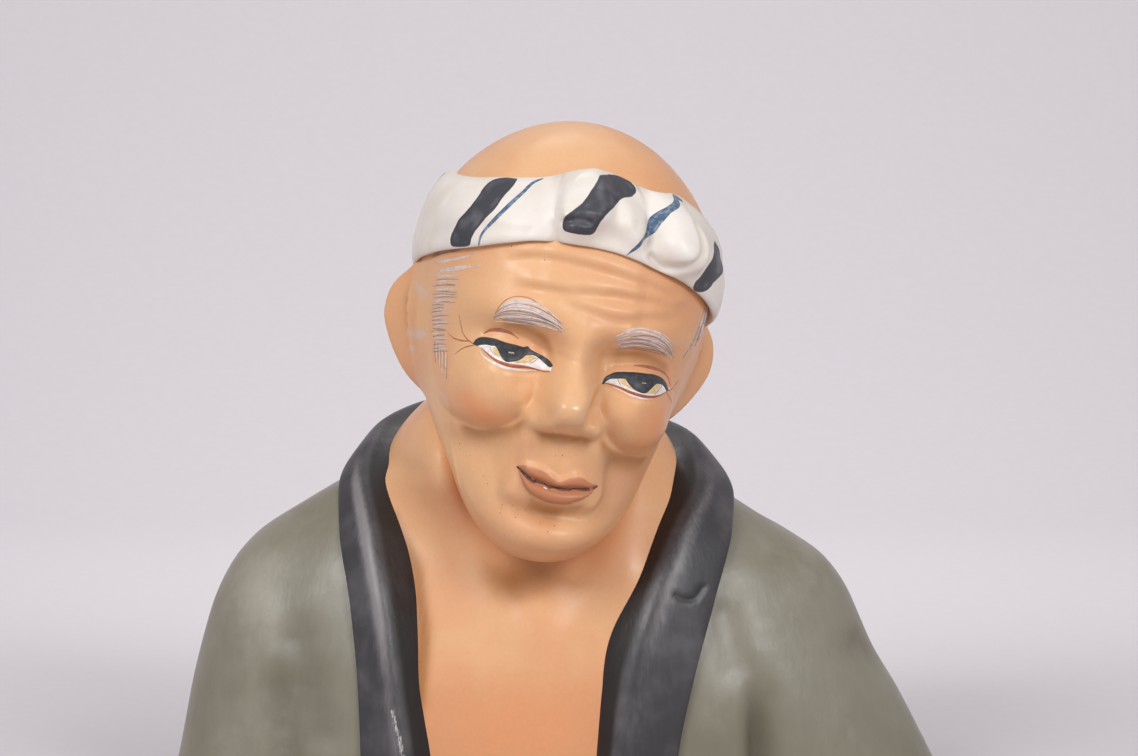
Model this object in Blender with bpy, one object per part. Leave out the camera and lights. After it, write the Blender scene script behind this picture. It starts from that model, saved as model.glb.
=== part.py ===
"""A moulded clay doll's head and shoulders: an old man in a knotted towel and an open jacket.

The bust is one casting, cut flat below. It looks along -Y, its height is along +Z, and its
origin is the middle of its flat foot. Every proportion is in parts, 77 of them to the height.
"""

import math

import bmesh
import bpy
import numpy as np

BUST_HEIGHT = 0.077
PARTS_TALL = 77.0
PART = BUST_HEIGHT / PARTS_TALL

# Thicknesses that stand on the body, in metres.
TOWEL_THICKNESS = 0.0014
COLLAR_EDGE = 0.0006
EAR_THICKNESS = 0.0036

# How the bowed head sits on the body: leaning to its left, nodding, and turned to its left.
HEAD_LEAN_DEG = 11.9
HEAD_NOD_DEG = 5.1
HEAD_TURN_DEG = 8.5
HEAD_PLACE = (-1.8, -3.6, 52.7)

# The plain head, from the chin to the crown, with the eyes at height 0. Each table gives a
# half-breadth at a height, before the ball's own rounding.
CHIN = -23.6
CROWN = 24.4
HEAD_WIDTHS = ((-23.6, 17), (-20, 15.6), (-16, 14.2), (-8, 14.6), (0, 15.6), (9, 17.3), (18, 18.8), (24.4, 18.8))
HEAD_FRONTS = (
    (-23.6, 19), (-22, 18.4), (-19, 17.1), (-16, 16.6), (-12, 17.5), (-8, 18.9),
    (0, 18.6), (4, 19.4), (14, 20.5), (24.4, 19),
)
HEAD_BACKS = ((-23.6, 11), (-16, 12), (-8, 12.3), (0, 18.5), (5, 21), (16, 22.5), (24.4, 22))
CHIN_FORWARD = 10.0
JAW_SHIFT = 1.5

# The towel's lower and upper edges on the head, by the bearing round it in degrees.
TOWEL_LOWER = (
    (-180, -3.4), (-165, -3.2), (-120, 1.0), (-70, 7.0), (-45, 10.2), (-23, 12.9), (-7, 13.7),
    (14, 12.8), (43, 9.4), (70, 6.4), (120, 0.8), (165, -3.2), (180, -3.4),
)
TOWEL_UPPER = (
    (-180, 5.0), (-165, 5.2), (-120, 11.4), (-80, 16.8), (-50, 18.2), (-27, 19.1), (-9, 21.3),
    (11, 20.1), (30, 19.6), (55, 16.5), (80, 13.5), (120, 9.0), (165, 5.2), (180, 5.0),
)

# The body's breadth to either side and its depth to front and back, by the height.
BODY_AXIS = (-3.0, 3.0)
BODY_LEFTS = (
    (-4, 44.0), (4.3, 42.0), (13, 40.3), (17.4, 39.2), (22, 37.8), (26.2, 35.7), (29.4, 32.9),
    (32.8, 27.7), (35.9, 22.4), (38, 18.5), (40.3, 16.5), (42.3, 14.5), (44.4, 11.5), (50, 8),
)
BODY_RIGHTS = (
    (-4, 48.6), (4.3, 44.6), (11.3, 41.0), (16.4, 38.0), (19.3, 36.7), (23.1, 35.0), (26.5, 32.5),
    (29.4, 28.4), (31.2, 25.2), (33.8, 21.2), (36.2, 17.6), (38.7, 15.5), (40.6, 14.3), (44.4, 11.5), (50, 8),
)
BODY_FRONTS = ((-4, 17.0), (7.5, 17.2), (13.5, 16.8), (19.5, 15.4), (25.5, 13.4), (31, 11.2), (36, 9.4), (41, 8.4), (50, 8))
BODY_BACKS = (
    (-4, 19.0), (8, 20.4), (17, 21.0), (25, 20.4), (31, 19.0), (36, 17.2), (40, 15.2),
    (43, 12.8), (46, 10), (50, 8),
)
BODY_SQUARENESS = 2.35

# The collar, up the left front, round the nape and down the right front. Each station has the
# inner edge, the ridge and the outer edge.
COLLAR = (
    ((-15.0, -13.6, -4.0), (-17.6, -15.7, -4.0), (-23.4, -12.6, -4.0)),
    ((-15.3, -13.7, 5.0), (-18.0, -15.8, 5.0), (-23.3, -12.8, 5.0)),
    ((-16.3, -12.8, 14.0), (-19.2, -14.9, 14.0), (-23.6, -11.8, 14.0)),
    ((-17.4, -10.9, 23.0), (-20.4, -12.9, 23.0), (-24.5, -9.8, 23.0)),
    ((-18.9, -7.2, 31.2), (-22.0, -9.0, 30.8), (-25.8, -5.4, 30.5)),
    ((-20.6, -2.0, 37.6), (-23.3, -2.6, 36.9), (-26.0, -0.5, 35.0)),
    ((-19.3, 4.5, 41.6), (-21.8, 5.0, 41.6), (-24.0, 6.0, 38.4)),
    ((-13.4, 11.6, 43.8), (-15.2, 13.6, 44.2), (-16.4, 16.2, 40.4)),
    ((-4.0, 14.8, 44.6), (-4.0, 16.8, 45.0), (-4.0, 18.8, 41.0)),
    ((6.0, 11.6, 42.6), (7.6, 13.6, 42.8), (8.8, 16.0, 39.0)),
    ((11.6, 4.4, 40.4), (14.0, 5.0, 40.4), (16.6, 6.0, 37.2)),
    ((12.2, -2.0, 37.4), (15.0, -2.8, 36.0), (18.6, -0.6, 34.0)),
    ((9.6, -7.4, 31.2), (12.4, -9.4, 31.2), (18.4, -5.8, 30.8)),
    ((6.6, -11.2, 23.6), (9.4, -13.4, 23.6), (16.4, -10.2, 23.4)),
    ((4.1, -13.2, 14.6), (6.6, -15.4, 14.6), (14.0, -12.9, 14.6)),
    ((3.0, -14.1, 5.6), (5.2, -16.2, 5.6), (12.2, -13.7, 5.6)),
    ((2.6, -14.0, -4.0), (4.6, -16.0, -4.0), (11.6, -13.6, -4.0)),
)

# Folds pressed into the sleeves: where each starts and ends on the front, its width and depth.
FOLDS = (
    ((-31.1, 18.2), (-37.0, 16.0), 1.9, 1.1),
    ((-34.2, 14.6), (-28.6, 5.0), 2.1, 1.3),
    ((-29.0, 30.0), (-32.6, 24.4), 2.4, 0.6),
    ((20.6, 15.4), (21.6, -2.0), 2.0, 1.9),
    ((17.4, 21.4), (18.8, 16.0), 1.8, 0.8),
    ((33.0, 17.6), (37.5, 15.6), 2.0, 1.0),
)

# How finely the lofts are cut.
BODY_SIDES = 66
BODY_SECTIONS = 20
COLLAR_SECTIONS = 45
HEAD_SIDES = 60
HEAD_RINGS = 44

SOLID = bpy.data.collections.new("doll_bust")
SHAPERS = bpy.data.collections.new("shapers")


def smooth_step(share):
    """0 below 0, 1 above 1, with an easy start and end between."""
    share = np.clip(share, 0, 1)
    return share * share * (3 - 2 * share)


def through(table, at):
    """A smooth curve through a table of (position, value) that never swings past its values."""
    xs, ys = np.array(table, float).T
    gaps = np.diff(xs)
    slopes = np.diff(ys) / gaps
    tangents = np.concatenate([slopes[:1], np.zeros(len(xs) - 2), slopes[-1:]])
    before, after = slopes[:-1], slopes[1:]
    same_way = before * after > 0
    tangents[1:-1][same_way] = (2 * before * after)[same_way] / (before + after)[same_way]
    at = np.clip(at, xs[0], xs[-1])
    i = np.clip(np.searchsorted(xs, at, side="right") - 1, 0, len(gaps) - 1)
    t = (at - xs[i]) / gaps[i]
    return (
        (2 * t**3 - 3 * t**2 + 1) * ys[i]
        + (t**3 - 2 * t**2 + t) * gaps[i] * tangents[i]
        + (3 * t**2 - 2 * t**3) * ys[i + 1]
        + (t**3 - t**2) * gaps[i] * tangents[i + 1]
    )


def mound(x, z, at, radii, turn_deg=0.0, power=2.0):
    """A round-topped rise of height 1 over the face's own x and z."""
    turn = math.radians(turn_deg)
    across = ((x - at[0]) * math.cos(turn) + (z - at[1]) * math.sin(turn)) / radii[0]
    along = ((z - at[1]) * math.cos(turn) - (x - at[0]) * math.sin(turn)) / radii[1]
    return np.exp(-((across**2 + along**2) ** (power / 2)))


def plain_head(bearing, height):
    """The head's skin without its features, by the bearing round it and the height."""
    middle, half = (CROWN + CHIN) / 2, (CROWN - CHIN) / 2
    round_off = np.sqrt(np.clip(1 - ((height - middle) / half) ** 2, 0, 1))
    facing = np.cos(bearing)
    full = 1 + 0.05 * np.sin(2 * bearing) ** 2 * (facing > 0)
    x = through(HEAD_WIDTHS, height) * np.sin(bearing) * full * round_off
    depth = np.where(facing > 0, through(HEAD_FRONTS, height) * full, through(HEAD_BACKS, height))
    forward = CHIN_FORWARD * smooth_step((-5 - height) / 18)
    return np.stack([x, -forward - depth * facing * round_off, height], -1)


def face_relief(x, z):
    """How far the features stand forward of the plain head."""
    side = np.abs(x)
    rise = 1.0 * mound(side, z, (6.8, 5.0), (5.0, 2.2), -8)
    rise += 0.5 * mound(x, z, (0.5, 4.5), (2.6, 2.6))
    rise -= 1.3 * mound(side, z, (6.5, 2.0), (5.0, 2.0), -6)
    rise -= 1.5 * mound(side, z, (2.9, 1.0), (1.7, 2.0))
    rise -= 1.2 * mound(side, z, (7.0, -0.6), (5.2, 2.2))
    rise += 1.5 * mound(side, z, (7.0, -0.2), (3.8, 1.9))
    rise += cheeks(side, z) + nose(x, z) + mouth_and_chin(x, z) + forehead_folds(x, z)
    return rise


def cheeks(side, z):
    """Cheeks as round as apples, with the hollows under them."""
    rise = 2.6 * mound(side, z, (9.0, -5.6), (4.4, 3.6), 8, 2.6)
    rise -= 1.5 * mound(side, z, (8.4, -11.8), (4.0, 2.2), -18)
    rise -= 0.8 * mound(side, z, (10.5, -14.5), (3.0, 4.0))
    return rise


def nose(x, z):
    """The ridge down to the tip, its undercut, and the wings."""
    heights = ((-9.6, 0), (-8.7, 1.6), (-7.6, 5.0), (-6.2, 6.4), (-4.6, 6.0), (-2, 4.3), (0.5, 2.9), (3, 1.6), (6, 0.3), (9, 0))
    breadths = ((-9, 2.6), (-6.5, 2.5), (-4, 2.0), (-1, 1.7), (3, 2.0), (9, 3.5))
    rise = through(heights, z) * np.exp(-0.9 * np.abs(x / through(breadths, z)) ** 2.4)
    rise += 2.3 * mound(np.abs(x), z, (3.2, -7.3), (1.55, 1.35), 0, 2.4)
    return rise


def mouth_and_chin(x, z):
    """The full upper lip, both lips with the line between them, and the chin."""
    rise = 1.5 * mound(x, z, (0.4, -12.6), (5.6, 4.4), 0, 2.6)
    rise -= 0.9 * mound(np.abs(x), z, (5.6, -10.0), (1.0, 3.4), 28)
    rise += 0.55 * mound(x, z, (0.5, -11.8), (3.6, 0.9), 0, 3)
    rise += 0.9 * mound(x, z, (0.9, -14.0), (3.2, 1.0), 0, 3)
    rise -= 0.7 * mound(x, z, (0.7, -12.75), (4.6, 0.32))
    rise -= 1.3 * mound(x, z, (1.0, -16.4), (4.2, 1.2))
    rise += 1.0 * mound(x, z, (1.5, -19.4), (4.2, 2.2), 0, 2.6)
    return rise


def forehead_folds(x, z):
    """Two shallow folds that wave across the forehead."""
    rise = np.zeros_like(x)
    for height, depth, start in ((9.0, 0.35, 1.5), (11.2, 0.3, 2.5)):
        line = height + 0.8 * np.cos((x - start) / 5.0)
        reach = np.exp(-(((x - start) / 7.0) ** 4))
        rise -= depth * reach * np.exp(-(((z - line) / 0.55) ** 2))
        rise += 0.6 * depth * reach * np.exp(-(((z - line - 1.0) / 0.8) ** 2))
    return rise


def head_skin(bearing, height):
    """The whole head: the plain form, the face's relief, and the jaw pushed to one side."""
    point = plain_head(bearing, height)
    x, y, z = np.moveaxis(point, -1, 0)
    front = smooth_step((np.cos(bearing) - 0.15) / 0.5) * smooth_step((21 - z) / 6)
    rise = face_relief(x, z) * front
    wider = 0.35 * np.clip(rise, 0, None) * x / 15
    shift = JAW_SHIFT * smooth_step((-3 - z) / 20)
    return np.stack([x + wider + shift, y - rise, z], -1)


def placed_on_neck(points):
    """Points of the head, leaned, nodded and turned, and set over the body."""
    lean, nod, turn = (math.radians(d) for d in (HEAD_LEAN_DEG, HEAD_NOD_DEG, HEAD_TURN_DEG))
    leaning = np.array([[math.cos(lean), 0, math.sin(lean)], [0, 1, 0], [-math.sin(lean), 0, math.cos(lean)]])
    nodding = np.array([[1, 0, 0], [0, math.cos(nod), -math.sin(nod)], [0, math.sin(nod), math.cos(nod)]])
    turning = np.array([[math.cos(turn), -math.sin(turn), 0], [math.sin(turn), math.cos(turn), 0], [0, 0, 1]])
    return points @ (leaning @ nodding @ turning).T + np.array(HEAD_PLACE)


def towel_knots(bearing_deg, across):
    """The extra fullness of the rolled towel where it is knotted over the brow."""
    x, z = bearing_deg * 0.31, across * 3.8
    rise = 3.0 * mound(x, z, (-1.7, 0.6), (4.0, 3.6), 0, 3)
    rise += 1.3 * mound(x, z, (3.6, -0.6), (2.0, 2.4))
    rise += 3.2 * mound(x, z, (10.6, -0.2), (3.9, 3.7), -25, 3)
    rise += 0.9 * mound(x, z, (-24.0, 2.4), (9.0, 3.0))
    return rise


def towel_surface(bearing, around):
    """The towel's closed section: around is 0 on its outer middle and a half turn inside."""
    bearing_deg = np.degrees(bearing)
    low, high = through(TOWEL_LOWER, bearing_deg), through(TOWEL_UPPER, bearing_deg)
    across = np.sin(around)
    height = (low + high) / 2 + across * (high - low) / 2
    point = plain_head(bearing, height)
    outward = np.stack([np.sin(bearing), -np.cos(bearing), 0 * bearing], -1)
    stands = TOWEL_THICKNESS / PART + towel_knots(bearing_deg, across)
    off = (stands + 2.0) * ((1 + np.cos(around)) / 2) ** 0.35 - 2.0
    return point + outward * off[..., None]


def ear_surface(bearing, latitude, side):
    """A dished oval that stands out from the head, its plane turned half forwards."""
    out, up = np.cos(latitude) * np.sin(bearing), np.sin(latitude)
    face = np.cos(latitude) * np.cos(bearing)
    spread, height = 5.6 * out * (1 + 0.16 * up), 7.9 * up
    rim = np.sqrt(out**2 + up**2)
    dish = 1.1 * np.exp(-((((spread - 0.2) / 2.9) ** 2 + ((height - 1.0) / 4.4) ** 2) ** 1.3))
    lip = 0.45 * np.exp(-(((rim - 0.86) / 0.1) ** 2))
    thick = EAR_THICKNESS / PART / 2 * face + np.where(face > 0, lip - dish, 0) + 0.03 * spread**2
    flare = math.radians(38)
    x = 13.9 + spread * math.cos(flare) + thick * math.sin(flare) - 0.2 * np.clip(-height, 0, None)
    y = 2.8 + spread * math.sin(flare) - thick * math.cos(flare)
    return np.stack([side * x, y, height - 1.5], -1)


def opening(x, z):
    """1 on the bare chest between the collar's ridges, 0 under the jacket."""
    left = through([(ridge[2], ridge[0]) for _, ridge, _ in COLLAR[:6]], z)
    right = through([(ridge[2], ridge[0]) for _, ridge, _ in COLLAR[:10:-1]], z)
    return smooth_step((x - left) / 1.5) * smooth_step((right - x) / 1.5)


def folds(x, z):
    """How deep the sleeves' folds are pressed in."""
    depth = np.zeros_like(x)
    for start, end, width, pressed in FOLDS:
        run = np.subtract(end, start)
        share = ((x - start[0]) * run[0] + (z - start[1]) * run[1]) / (run @ run)
        nearest = np.clip(share, 0, 1)
        away = np.hypot(x - start[0] - nearest * run[0], z - start[1] - nearest * run[1])
        depth += pressed * np.exp(-((away / width) ** 2))
    return depth


def neck_cords(x, z):
    """The two cords that run down to the pit of the throat, and the pit between them."""
    rise = -1.6 * mound(x, z, (-3.0, 22.5), (2.6, 4.2))
    for side in (-1, 1):
        line = -3.0 + side * (2.6 + 0.42 * np.clip(z - 18, 0, None))
        rise += 1.0 * np.exp(-(((x - line) / 1.9) ** 2)) * smooth_step((z - 15) / 8) * smooth_step((42 - z) / 6)
    return rise


def body_surface(bearing, height):
    """The shoulders, arms and back in the jacket, the bare chest and the neck."""
    left, right = through(BODY_LEFTS, height), through(BODY_RIGHTS, height)
    front, back = through(BODY_FRONTS, height), through(BODY_BACKS, height)
    across, along = np.sin(bearing), np.cos(bearing)
    reach = (np.abs(across) ** BODY_SQUARENESS + np.abs(along) ** BODY_SQUARENESS) ** (-1 / BODY_SQUARENESS)
    x = BODY_AXIS[0] + np.where(across > 0, right, left) * across * reach
    y = BODY_AXIS[1] - np.where(along > 0, front, back) * along * reach
    bare = opening(x, height)
    y = y + smooth_step(along / 0.35) * ((1 - bare) * folds(x, height) - bare * neck_cords(x, height))
    return np.stack(np.broadcast_arrays(x, y, height), -1)


def collar_surface(along, around):
    """The collar's closed section: over the edges and the ridge, and back through the body."""
    stations = np.linspace(0, 1, len(COLLAR))
    edge, ridge, outer = (
        np.stack([through(list(zip(stations, [row[i][k] for row in COLLAR])), along) for k in range(3)], -1)
        for i in range(3)
    )
    heart = np.stack([np.full_like(along, BODY_AXIS[0]), np.full_like(along, BODY_AXIS[1]), ridge[..., 2] - 2], -1)
    inward = heart - (edge + outer) / 2
    inward /= np.linalg.norm(inward, axis=-1, keepdims=True)
    sunk, lift = 3.0 * inward, COLLAR_EDGE / PART * inward
    share = (around % 1) * 6
    corners = (
        edge + sunk, edge - lift, ridge - lift / 2, (ridge + outer) / 2 - lift, outer - lift, outer + sunk,
    )
    section = np.zeros(np.broadcast_shapes(along.shape, share.shape) + (3,))
    for i, corner in enumerate(corners):
        weight = np.clip(1 - np.minimum(np.abs(share - i), 6 - np.abs(share - i)), 0, 1)
        section += weight[..., None] * corner
    return section


def solid_from(name, mesh):
    """Store a bmesh as a smooth-shaded object in the solid's collection."""
    if mesh.calc_volume(signed=True) < 0:
        bmesh.ops.reverse_faces(mesh, faces=mesh.faces)
    for face in mesh.faces:
        face.smooth = True
    data = bpy.data.meshes.new(name)
    mesh.to_mesh(data)
    mesh.free()
    thing = bpy.data.objects.new(name, data)
    SOLID.objects.link(thing)
    return thing


def shaped_ball(name, segments, rings, surface):
    """A ball whose every point is moved to where the surface puts its bearing and latitude."""
    mesh = bmesh.new()
    bmesh.ops.create_uvsphere(mesh, u_segments=segments, v_segments=rings, radius=1)
    for vert in mesh.verts:
        bearing = math.atan2(vert.co.x, -vert.co.y)
        latitude = math.asin(max(-1.0, min(1.0, vert.co.z)))
        vert.co = surface(np.array(bearing), np.array(latitude)) * PART
    return solid_from(name, mesh)


def shaped_ring(name, segments, sides, surface):
    """A ring whose every point is moved to where the surface puts its bearing and its angle."""
    bpy.ops.mesh.primitive_torus_add(
        major_segments=segments, minor_segments=sides, major_radius=1, minor_radius=0.25
    )
    made = bpy.context.object
    mesh = bmesh.new()
    mesh.from_mesh(made.data)
    bpy.data.objects.remove(made)
    for vert in mesh.verts:
        bearing = math.atan2(vert.co.x, -vert.co.y)
        around = math.atan2(vert.co.z, math.hypot(vert.co.x, vert.co.y) - 1)
        vert.co = surface(np.array(bearing), np.array(around)) * PART
    return solid_from(name, mesh)


def lofted(name, sections):
    """A closed solid through unlike sections of one number of points."""
    mesh = bmesh.new()
    rings = [[mesh.verts.new(point * PART) for point in section] for section in sections]
    sides = len(rings[0])
    for low, high in zip(rings, rings[1:]):
        for i in range(sides):
            j = (i + 1) % sides
            mesh.faces.new((low[i], low[j], high[j], high[i]))
    mesh.faces.new(rings[0][::-1])
    mesh.faces.new(rings[-1])
    return solid_from(name, mesh)


def head():
    """The head, on its neck; its bearings and levels crowd together on the face."""
    middle, half = (CROWN + CHIN) / 2, (CROWN - CHIN) / 2
    return shaped_ball("head", HEAD_SIDES, HEAD_RINGS, lambda bearing, latitude: placed_on_neck(head_skin(
        bearing - 0.5 * np.sin(bearing), middle + half * np.sin(latitude - 0.2 * np.sin(2 * latitude))
    )))


def towel():
    """The rolled towel, tied round the head above the brows."""
    return shaped_ring("towel", 56, 12, lambda bearing, around: placed_on_neck(
        towel_surface(bearing - 0.3 * np.sin(bearing), around)
    ))


def ear(side):
    """One ear, on the head's left or right."""
    return shaped_ball("ear", 16, 10, lambda bearing, latitude: placed_on_neck(
        ear_surface(bearing, latitude, side)
    ))


def body():
    """The body under the head, lofted from level sections."""
    bearings = np.linspace(-math.pi, math.pi, BODY_SIDES, endpoint=False)
    heights = np.linspace(-4, 50, BODY_SECTIONS)
    return lofted("body", [body_surface(bearings, np.full_like(bearings, z)) for z in heights])


def collar():
    """The jacket's folded collar."""
    around = np.arange(6) / 6
    return lofted("collar", [
        collar_surface(np.full_like(around, along), around) for along in np.linspace(0, 1, COLLAR_SECTIONS)
    ])


def floor_cutter():
    """A block whose top is the level the bust stands on."""
    bpy.ops.mesh.primitive_cube_add(size=4 * BUST_HEIGHT, location=(0, 0, -2 * BUST_HEIGHT))
    block = bpy.context.object
    block.name = "floor_cutter"
    for holder in block.users_collection:
        holder.objects.unlink(block)
    SHAPERS.objects.link(block)
    block.hide_render = True
    block.display_type = "WIRE"
    return block


def boolean(thing, operation, other):
    """Join or cut one object with another by an exact Boolean, and apply it."""
    change = thing.modifiers.new(operation.lower(), "BOOLEAN")
    change.solver = "EXACT"
    change.operation = operation
    change.object = other
    bpy.context.view_layer.objects.active = thing
    bpy.ops.object.modifier_apply(modifier=change.name)


def painted_clay():
    """The fired, painted clay of the whole casting."""
    material = bpy.data.materials.new("painted_clay")
    material.use_nodes = True
    shader = material.node_tree.nodes["Principled BSDF"]
    shader.inputs["Base Color"].default_value = (0.62, 0.38, 0.24, 1)
    shader.inputs["Roughness"].default_value = 0.5
    return material


def main():
    for leftover in list(bpy.data.objects):
        bpy.data.objects.remove(leftover)
    for collection in (SOLID, SHAPERS):
        bpy.context.scene.collection.children.link(collection)
    bust = body()
    for piece in (head(), ear(-1), ear(1), towel(), collar()):
        boolean(bust, "UNION", piece)
        bpy.data.objects.remove(piece)
    boolean(bust, "DIFFERENCE", floor_cutter())
    bust.name = bust.data.name = "doll_bust"
    bust.data.materials.clear()
    bust.data.materials.append(painted_clay())


main()
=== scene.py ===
"""A painted clay doll's bust: an old man in a knotted towel and an open jacket.

Lengths are in millimetres until a shell goes into Blender. The head's own frame has the eyes at
height 0. A place on the head is an arc round it, 0.3 mm to the degree of bearing, and a height.
"""

import logging
import math
from dataclasses import dataclass, field
from enum import Enum

import bpy
import numpy as np
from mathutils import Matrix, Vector


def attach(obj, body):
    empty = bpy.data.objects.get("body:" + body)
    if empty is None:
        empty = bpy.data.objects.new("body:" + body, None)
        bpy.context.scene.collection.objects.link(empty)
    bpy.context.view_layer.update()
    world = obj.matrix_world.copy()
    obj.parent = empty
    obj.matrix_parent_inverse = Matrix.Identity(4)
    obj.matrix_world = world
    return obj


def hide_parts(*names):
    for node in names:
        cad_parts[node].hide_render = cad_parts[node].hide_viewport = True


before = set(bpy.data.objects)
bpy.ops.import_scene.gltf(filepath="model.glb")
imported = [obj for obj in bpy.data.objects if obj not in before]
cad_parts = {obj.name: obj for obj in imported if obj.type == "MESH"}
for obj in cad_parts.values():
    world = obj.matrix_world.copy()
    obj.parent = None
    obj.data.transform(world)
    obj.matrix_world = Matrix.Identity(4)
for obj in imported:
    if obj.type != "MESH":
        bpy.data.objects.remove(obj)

log = logging.getLogger("doll")

MM = 0.001
ARC_PER_DEGREE = 0.3
NODE, BODY, SLOT = "doll_bust", "root", "painted_clay"
Array = np.ndarray
Table = tuple[tuple[float, ...], ...]
Films = dict[str, tuple["Finish", list["Shell"]]]
Hairs = dict[str, tuple[list["Shell"], float]]


def smooth_step(share: Array) -> Array:
    """0 below 0, 1 above 1, with an easy start and end between."""
    share = np.clip(share, 0, 1)
    return share * share * (3 - 2 * share)


def through(table: Table, at: Array) -> Array:
    """A smooth curve through a table that never swings past its values.

    Args:
        table: Rows of (position, value), by rising position.
        at: The positions wanted.

    Returns:
        The values there, by cubic pieces whose slope is the harmonic mean of their neighbours'.
    """
    xs, ys = np.array(table, float).T
    gaps = np.diff(xs)
    slopes = np.diff(ys) / gaps
    tangents = np.concatenate([slopes[:1], np.zeros(len(xs) - 2), slopes[-1:]])
    before, after = slopes[:-1], slopes[1:]
    same_way = before * after > 0
    tangents[1:-1][same_way] = (2 * before * after)[same_way] / (before + after)[same_way]
    at = np.clip(at, xs[0], xs[-1])
    i = np.clip(np.searchsorted(xs, at, side="right") - 1, 0, len(gaps) - 1)
    t = (at - xs[i]) / gaps[i]
    return (
        (2 * t**3 - 3 * t**2 + 1) * ys[i]
        + (t**3 - 2 * t**2 + t) * gaps[i] * tangents[i]
        + (3 * t**2 - 2 * t**3) * ys[i + 1]
        + (t**3 - t**2) * gaps[i] * tangents[i + 1]
    )


def mound(x: Array, z: Array, at: tuple, radii: tuple, turn_deg: float = 0, power: float = 2) -> Array:
    """A round-topped rise of height 1: e to the minus distance, in radii, to the power.

    Args:
        x: Places across.
        z: Places along.
        at: The middle of the rise.
        radii: Its reach across and along.
        turn_deg: How far it is turned, anticlockwise.
        power: 2 for a bell; more for a flatter top and steeper side.

    Returns:
        The height at each place.
    """
    turn = math.radians(turn_deg)
    across = ((x - at[0]) * math.cos(turn) + (z - at[1]) * math.sin(turn)) / radii[0]
    along = ((z - at[1]) * math.cos(turn) - (x - at[0]) * math.sin(turn)) / radii[1]
    return np.exp(-((across**2 + along**2) ** (power / 2)))


def mounds(x: Array, z: Array, rows: tuple) -> Array:
    """The sum of several rises.

    Args:
        x: Places across.
        z: Places along.
        rows: For each rise its height, then what mound takes after the places.

    Returns:
        The height at each place.
    """
    total = np.zeros(np.broadcast_shapes(np.shape(x), np.shape(z)))
    for height, *where in rows:
        total = total + height * mound(x, z, *where)
    return total


def curve_through(points: Table, count: int) -> Array:
    """A smooth path through points: Catmull-Rom cubics between them.

    Args:
        points: The points passed, in order.
        count: How many places to give, the ends among them.

    Returns:
        The places, one row each.
    """
    knots = np.array(points, float)
    if len(knots) == 2:
        return knots[0] + np.linspace(0, 1, count)[:, None] * (knots[1] - knots[0])
    knots = np.vstack([2 * knots[0] - knots[1], knots, 2 * knots[-1] - knots[-2]])
    at = np.linspace(0, len(knots) - 3 - 1e-9, count)
    i = at.astype(int)
    t = (at - i)[:, None]
    a, b, c, d = (knots[i + k] for k in range(4))
    return 0.5 * (2 * b + (c - a) * t + (2 * a - 5 * b + 4 * c - d) * t**2 + (3 * b - a - 3 * c + d) * t**3)


def distance_to(x: Array, z: Array, path: Array) -> Array:
    """How far each place is from a path: the least distance to any of its straight parts.

    Args:
        x: Places across.
        z: Places along.
        path: The path's corners, one row each.

    Returns:
        The distances, all positive.
    """
    at = np.stack([x, z], -1)[..., None, :]
    start, run = path[:-1], np.diff(path, axis=0)
    share = np.clip(((at - start) * run).sum(-1) / np.maximum((run * run).sum(-1), 1e-12), 0, 1)
    return np.linalg.norm(at - start - share[..., None] * run, axis=-1).min(-1)


def unit(vectors: Array, least: float = 0.0) -> Array:
    """The same directions at length 1; a vector shorter than least stays short."""
    return vectors / np.maximum(np.linalg.norm(vectors, axis=-1, keepdims=True), least)


def on_path(x: Array, z: Array, path: Table, width: float, count: int = 16) -> Array:
    """1 on a smooth path, falling away on both sides in a bell.

    Args:
        x: Places across.
        z: Places along.
        path: The points the path passes.
        width: How far the bell reaches.
        count: How many straight parts' ends stand for the path.

    Returns:
        The share at each place.
    """
    return np.exp(-((distance_to(x, z, curve_through(path, count)) / width) ** 2))


def inside_by(x: Array, z: Array, outline: Array) -> Array:
    """How far inside a closed outline each place is: its edge distance, negative outside.

    Args:
        x: Places across.
        z: Places along.
        outline: The outline's corners, one row each, not repeated at the end.

    Returns:
        The signed distances; a place is inside where a level ray crosses the outline oddly.
    """
    loop = np.vstack([outline, outline[:1]])
    low, high = loop[:-1], loop[1:]
    px, pz = x[..., None], z[..., None]
    crosses = (low[:, 1] > pz) != (high[:, 1] > pz)
    rise = np.where(high[:, 1] == low[:, 1], 1e-12, high[:, 1] - low[:, 1])
    hits = crosses & (px < (high[:, 0] - low[:, 0]) * (pz - low[:, 1]) / rise + low[:, 0])
    return np.where(hits.sum(-1) % 2 == 1, 1, -1) * distance_to(x, z, loop)


def ripple(x: Array, z: Array, size: float, seed: int) -> Array:
    """Smooth unevenness between -1 and 1: seven waves, each in its own direction and phase.

    Args:
        x: Places across.
        z: Places along.
        size: The waves' usual length.
        seed: Which set of waves.

    Returns:
        The unevenness at each place.
    """
    dice = np.random.default_rng(seed)
    total = np.zeros(np.broadcast_shapes(np.shape(x), np.shape(z)))
    for turn, phase, length in dice.uniform((0, 0, 0.6), (math.pi, 2 * math.pi, 1.6), (7, 3)):
        pitch = 2 * math.pi / (size * length)
        total += np.sin(pitch * (x * math.cos(turn) + z * math.sin(turn)) + phase)
    return total / 7


class Ends(Enum):
    """How the first and last ring of a shell are shut."""

    POINT = "a fan of triangles to the ring's middle"
    JOINED = "the last ring meets the first"


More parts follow.
